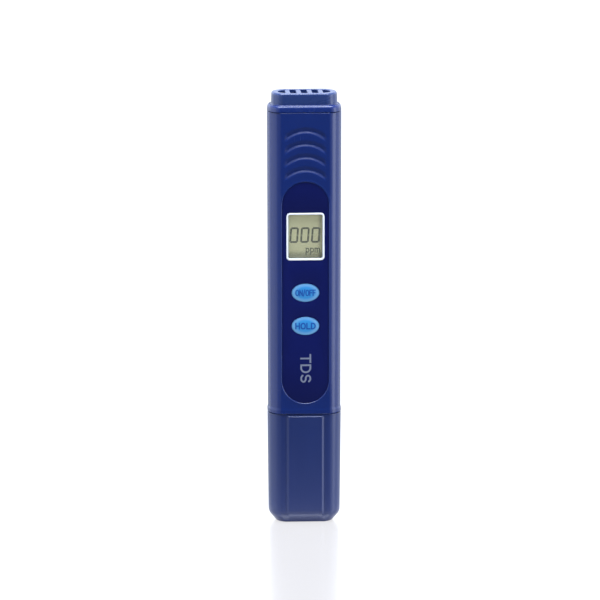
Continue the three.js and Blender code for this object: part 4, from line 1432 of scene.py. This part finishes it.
class TESTER_OT_probe(PieceOperator):
    """Probe: the slotted sensor head with its two pins and the temperature sensor"""

    bl_idname = "tester.probe"
    bl_label = "Probe"

    def execute(self, context):
        self.head()
        self.rod("probe_pin_left", "measuring_pin_left", "titanium", 0.35)
        self.rod("probe_pin_right", "measuring_pin_right", "titanium", 0.35)
        self.rod("temperature_sensor", "temperature_bead", "steel", 0.9)
        return {"FINISHED"}

    def head(self):
        """A solid plug that holds the pins, below a dry well, with a slotted wall let into its lower end."""
        low, high, *_ = span("probe_housing")
        neck_x, neck_y, top = high
        snout_x, snout_y = neck_x - 1.0, neck_y - 0.75
        roof, snout_top, neck_foot, plug_top, wall = 21.0, 23.0, 24.5, 27.0, 1.4
        stations = [
            (roof, 0, 0, 0, 0),
            (roof, snout_x, snout_y, 3.0, 4.4),
            (snout_top, snout_x, snout_y, 3.0, 4.4),
            (neck_foot, neck_x, neck_y, 3.2, 5.2),
            (top, neck_x, neck_y, 3.2, 5.2),
            (top, neck_x - wall, neck_y - wall, 2.4, 3.8),
            (plug_top, neck_x - wall, neck_y - wall, 2.4, 3.8),
            (plug_top, 0, 0, 0, 0),
        ]
        columns = ring_columns(np.linspace(-1, 1, 13), 0.0, 12)
        plug = lofted(stations, [0, 0.15, 0.5, 0.5, 0.2, 0.2, 0.3, 0], columns)
        solid = joined([plug, self.slotted_wall(low[2], roof, snout_x, snout_y)])
        make_piece("sensor_head", solid, finish("black_plastic"), ["probe_housing"])

    def slotted_wall(self, foot, roof, half_x, half_y):
        """A tube round the pins, with a rounded foot and a square slot up its front and its back."""
        slot_half, slot_top, flat_half, step = 2.6, 19.6, 6.4, 0.12
        slot = slot_half / flat_half
        columns = ring_columns(even_steps(-1, (-slot, 0.2), (slot, 0.1), (1, 0.2)), 0.0, 10)
        rounding = 0.5
        z = even_steps(foot, (foot + rounding, 0.1), (slot_top, 1.2), (roof + 0.8, 0.6))[:, None]
        inset = step + 0.35 * np.clip(1 - (z - foot) / rounding, 0, 1) ** 2
        half_x, half_y = half_x - inset, half_y - inset
        bore_x, bore_y = 7.4, 3.8
        grids = []
        for x, y in (
            columns.place(half_x, half_y, half_x - flat_half, 4.4 - inset),
            columns.place(bore_x, bore_y, bore_x - flat_half, 2.2),
        ):
            grid = np.stack(np.broadcast_arrays(x, y, z), axis=-1)
            grids.append(np.concatenate([grid, grid[:, :1]], axis=1))
        x, middle_z = cell_centres(grids[0])
        keep = (np.abs(x) > slot_half) | (middle_z > slot_top)
        return shell(*grids, keep, closed=True)

    def rod(self, node, name, metal_name, tip):
        """A turned rod with a rounded tip. Its slot has its metal's name."""
        low, high, middle, size, _ = span(node)
        radius, length = high[0] - middle[0], size[2]
        profile = [(0, 0), (0, radius - tip * 0.7), (tip, radius), (length, radius), (length, 0)]
        solid = in_place(turned(profile, [0, 0.15, 0.3, 0.1, 0], 40, 5), UPRIGHT, (*middle[:2], low[2]))
        make_piece(name, solid, finish(metal_name), [node])


class TESTER_OT_batteries(PieceOperator):
    """Batteries: two button cells on their rims, each with a crimped can and a stepped lid"""

    bl_idname = "tester.batteries"
    bl_label = "Batteries"

    def execute(self, context):
        for side in ("left", "right"):
            self.cell("battery_cell_" + side, "button_cell_" + side)
        return {"FINISHED"}

    def cell(self, node, name):
        """A cell turned about its own axis: its lid, the crimped rim, and the can with its sunken end."""
        low, _, middle, size, half = span(node)
        thickness, radius = size[0], half[2]
        rim, crimp, dimple = 0.5, 0.55, thickness - 0.06
        profile = [
            (0, 0),
            (0, radius - 1.3),
            (crimp, radius - 0.95),
            (crimp, radius - 0.75),
            (rim, radius - 0.6),
            (rim, radius),
            (thickness, radius),
            (thickness, radius - 1.1),
            (dimple, radius - 1.4),
            (dimple, 0),
        ]
        solid = turned(profile, [0, 0.3, 0.05, 0.05, 0.1, 0.35, 0.45, 0.2, 0.2, 0], 72, 4)
        solid = in_place(solid, ALONG_X, (low[0], *middle[1:]))
        make_piece(name, solid, finish("cell_steel"), [node])


class TESTER_OT_inner_parts(PieceOperator):
    """Inner parts: finishes for the CAD pieces inside the housing"""

    bl_idname = "tester.inner_parts"
    bl_label = "Inner parts"

    finishes = {
        "black_plastic": [
            "display_frame", "power_switch", "hold_switch", "chip_drop", "filter_capacitor", "trimmer_body",
            "battery_holder",
        ],
        "steel": [
            "quartz_crystal", "trimmer_screw", "board_screw_upper", "board_screw_lower", "contact_positive",
            "contact_negative",
        ],
        "grey_rubber": ["display_connector", "probe_gasket", "probe_lead_left"],
        "red_rubber": ["probe_lead_right"],
        "white_rubber": ["sensor_lead"],
        "board": ["circuit_board"],
    }

    def execute(self, context):
        for name, nodes in self.finishes.items():
            for node in nodes:
                refinish(node, finish(name))
        return {"FINISHED"}


class TESTER_OT_stage(PieceOperator):
    """Stage: the floor, the surround, the softboxes and the camera"""

    bl_idname = "tester.stage"
    bl_label = "Stage"

    def execute(self, context):
        settings = context.scene.tester_stage
        self.floor()
        self.surround(settings)
        for name, place, width, height, radiance in (
            ("softbox_top", (0.0, -0.05, 0.78), 0.62, 0.62, settings.top_light),
            ("softbox_right", (0.62, -0.14, 0.16), 0.32, 0.60, settings.side_light),
            ("softbox_left", (-0.60, 0.02, 0.16), 0.55, 0.60, settings.left_light),
            ("softbox_behind_right", (0.54, 0.31, 0.16), 0.62, 0.60, settings.rim_light),
            ("softbox_behind_left", (-0.44, 0.46, 0.16), 0.42, 0.60, settings.rim_light),
        ):
            self.softbox(name, Vector(place), width, height, radiance)
        self.camera(settings)
        context.scene.view_settings.view_transform = "Standard"
        return {"FINISHED"}

    def floor(self):
        """A disc and a wide ring round it, both made of rings of points, in millimetres.

        Only the disc shows in the pen's gloss. Beyond it the pen mirrors the dark front of the surround.
        """
        material = studio_floor("studio_floor")
        turn = np.linspace(0, 2 * math.pi, 64, endpoint=False)
        for name, radii in (("floor_middle", [0.0, 15, 30]), ("floor", [30.0, 200, 700, 2000, 5000])):
            radius = np.array(radii)[:, None]
            points = np.stack([radius * np.cos(turn), radius * np.sin(turn), 0 * radius * turn], axis=-1)
            floor = mesh_object(name, (points, grid_quads(*points.shape[:2])[:, ::-1]), material)
            floor.visible_glossy = floor.visible_shadow = name == "floor_middle"

    def surround(self, settings):
        """A white surround, bright behind the pen and dark in front and below, where its face mirrors it."""
        world = bpy.data.worlds.new("surround")
        world.use_nodes = True
        tree = world.node_tree
        nodes, links = tree.nodes, tree.links

        def ramp(value, *stops):
            made = nodes.new("ShaderNodeMapRange")
            made.interpolation_type = "SMOOTHSTEP"
            links.new(value, made.inputs["Value"])
            for name, stop in zip(("From Min", "From Max", "To Min", "To Max"), stops):
                made.inputs[name].default_value = stop
            return made.outputs[0]

        split = nodes.new("ShaderNodeSeparateXYZ")
        links.new(nodes.new("ShaderNodeTexCoord").outputs["Generated"], split.inputs[0])
        _, back, up = split.outputs
        product = ramp(back, -0.95, -0.70, 0.08, 1.0)
        for factor in (
            ramp(back, 0.45, 0.97, 1.0, 1.5),
            ramp(up, -0.55, -0.25, 0.20, 1.0),
            ramp(up, -0.12, 0.02, 0.40, settings.sky),
        ):
            multiply = nodes.new("ShaderNodeMath")
            multiply.operation = "MULTIPLY"
            links.new(product, multiply.inputs[0])
            links.new(factor, multiply.inputs[1])
            product = multiply.outputs[0]
        background = nodes["Background"]
        background.inputs["Color"].default_value = (0.88, 0.97, 1.08, 1.0)
        links.new(product, background.inputs["Strength"])
        bpy.context.scene.world = world

    def softbox(self, name, place, width, height, radiance):
        """A rectangular light that faces the pen. Its power is its radiance times pi times its area."""
        light = bpy.data.lights.new(name, "AREA")
        light.shape = "RECTANGLE"
        light.color = (0.90, 0.97, 1.08)
        light.size = width
        light.size_y = height
        light.energy = radiance * math.pi * width * height
        lamp = bpy.data.objects.new(name, light)
        lamp.location = place
        lamp.rotation_euler = (Vector((0, 0, 0.1)) - place).to_track_quat("-Z", "Y").to_euler()
        lamp.visible_camera = False
        bpy.context.scene.collection.objects.link(lamp)

    def camera(self, settings):
        """A long lens at the settings' angle, aimed at the pen's middle."""
        data = bpy.data.cameras.new("camera")
        data.sensor_width = 36.0
        data.lens = settings.lens
        data.clip_start, data.clip_end = 0.05, 50.0
        camera = bpy.data.objects.new("camera", data)
        azimuth, elevation = settings.azimuth, settings.elevation
        right = Vector((math.cos(azimuth), math.sin(azimuth), 0))
        level = Vector((math.sin(azimuth), -math.cos(azimuth), 0))
        back = level * math.cos(elevation) + Vector((0, 0, math.sin(elevation)))
        camera.location = Vector((0, 0, 0.07625)) - 0.0014 * right + back * settings.distance
        camera.rotation_euler = (-back).to_track_quat("-Z", "Y").to_euler()
        bpy.context.scene.collection.objects.link(camera)
        bpy.context.scene.camera = camera


class TESTER_PT_panel(bpy.types.Panel):
    """Sidebar panel that lists the pieces and their settings"""

    bl_idname = "TESTER_PT_panel"
    bl_label = "Water tester"
    bl_space_type = "VIEW_3D"
    bl_region_type = "UI"
    bl_category = "Tester"

    def draw(self, context):
        layout = self.layout
        for group in ("tester_shape", "tester_finish", "tester_stage"):
            box = layout.box()
            settings = getattr(context.scene, group)
            for name in settings.bl_rna.properties.keys():
                if name not in {"rna_type", "name"}:
                    box.prop(settings, name)
        for operator in OPERATORS:
            layout.operator(operator.bl_idname)


SETTINGS = {"tester_shape": TesterShape, "tester_finish": TesterFinish, "tester_stage": TesterStage}
OPERATORS = [
    TESTER_OT_front_shell,
    TESTER_OT_rear_shell,
    TESTER_OT_labels,
    TESTER_OT_display,
    TESTER_OT_buttons,
    TESTER_OT_battery_cap,
    TESTER_OT_probe_cap,
    TESTER_OT_probe,
    TESTER_OT_batteries,
    TESTER_OT_inner_parts,
    TESTER_OT_stage,
]


def register():
    for name, group in SETTINGS.items():
        bpy.utils.register_class(group)
        setattr(bpy.types.Scene, name, PointerProperty(type=group))
    for made in [*OPERATORS, TESTER_PT_panel]:
        bpy.utils.register_class(made)


def unregister():
    for made in [TESTER_PT_panel, *reversed(OPERATORS)]:
        bpy.utils.unregister_class(made)
    for name, group in SETTINGS.items():
        delattr(bpy.types.Scene, name)
        bpy.utils.unregister_class(group)


def main():
    register()
    for operator in OPERATORS:
        category, name = operator.bl_idname.split(".")
        getattr(getattr(bpy.ops, category), name)()


if __name__ == "__main__":
    main()
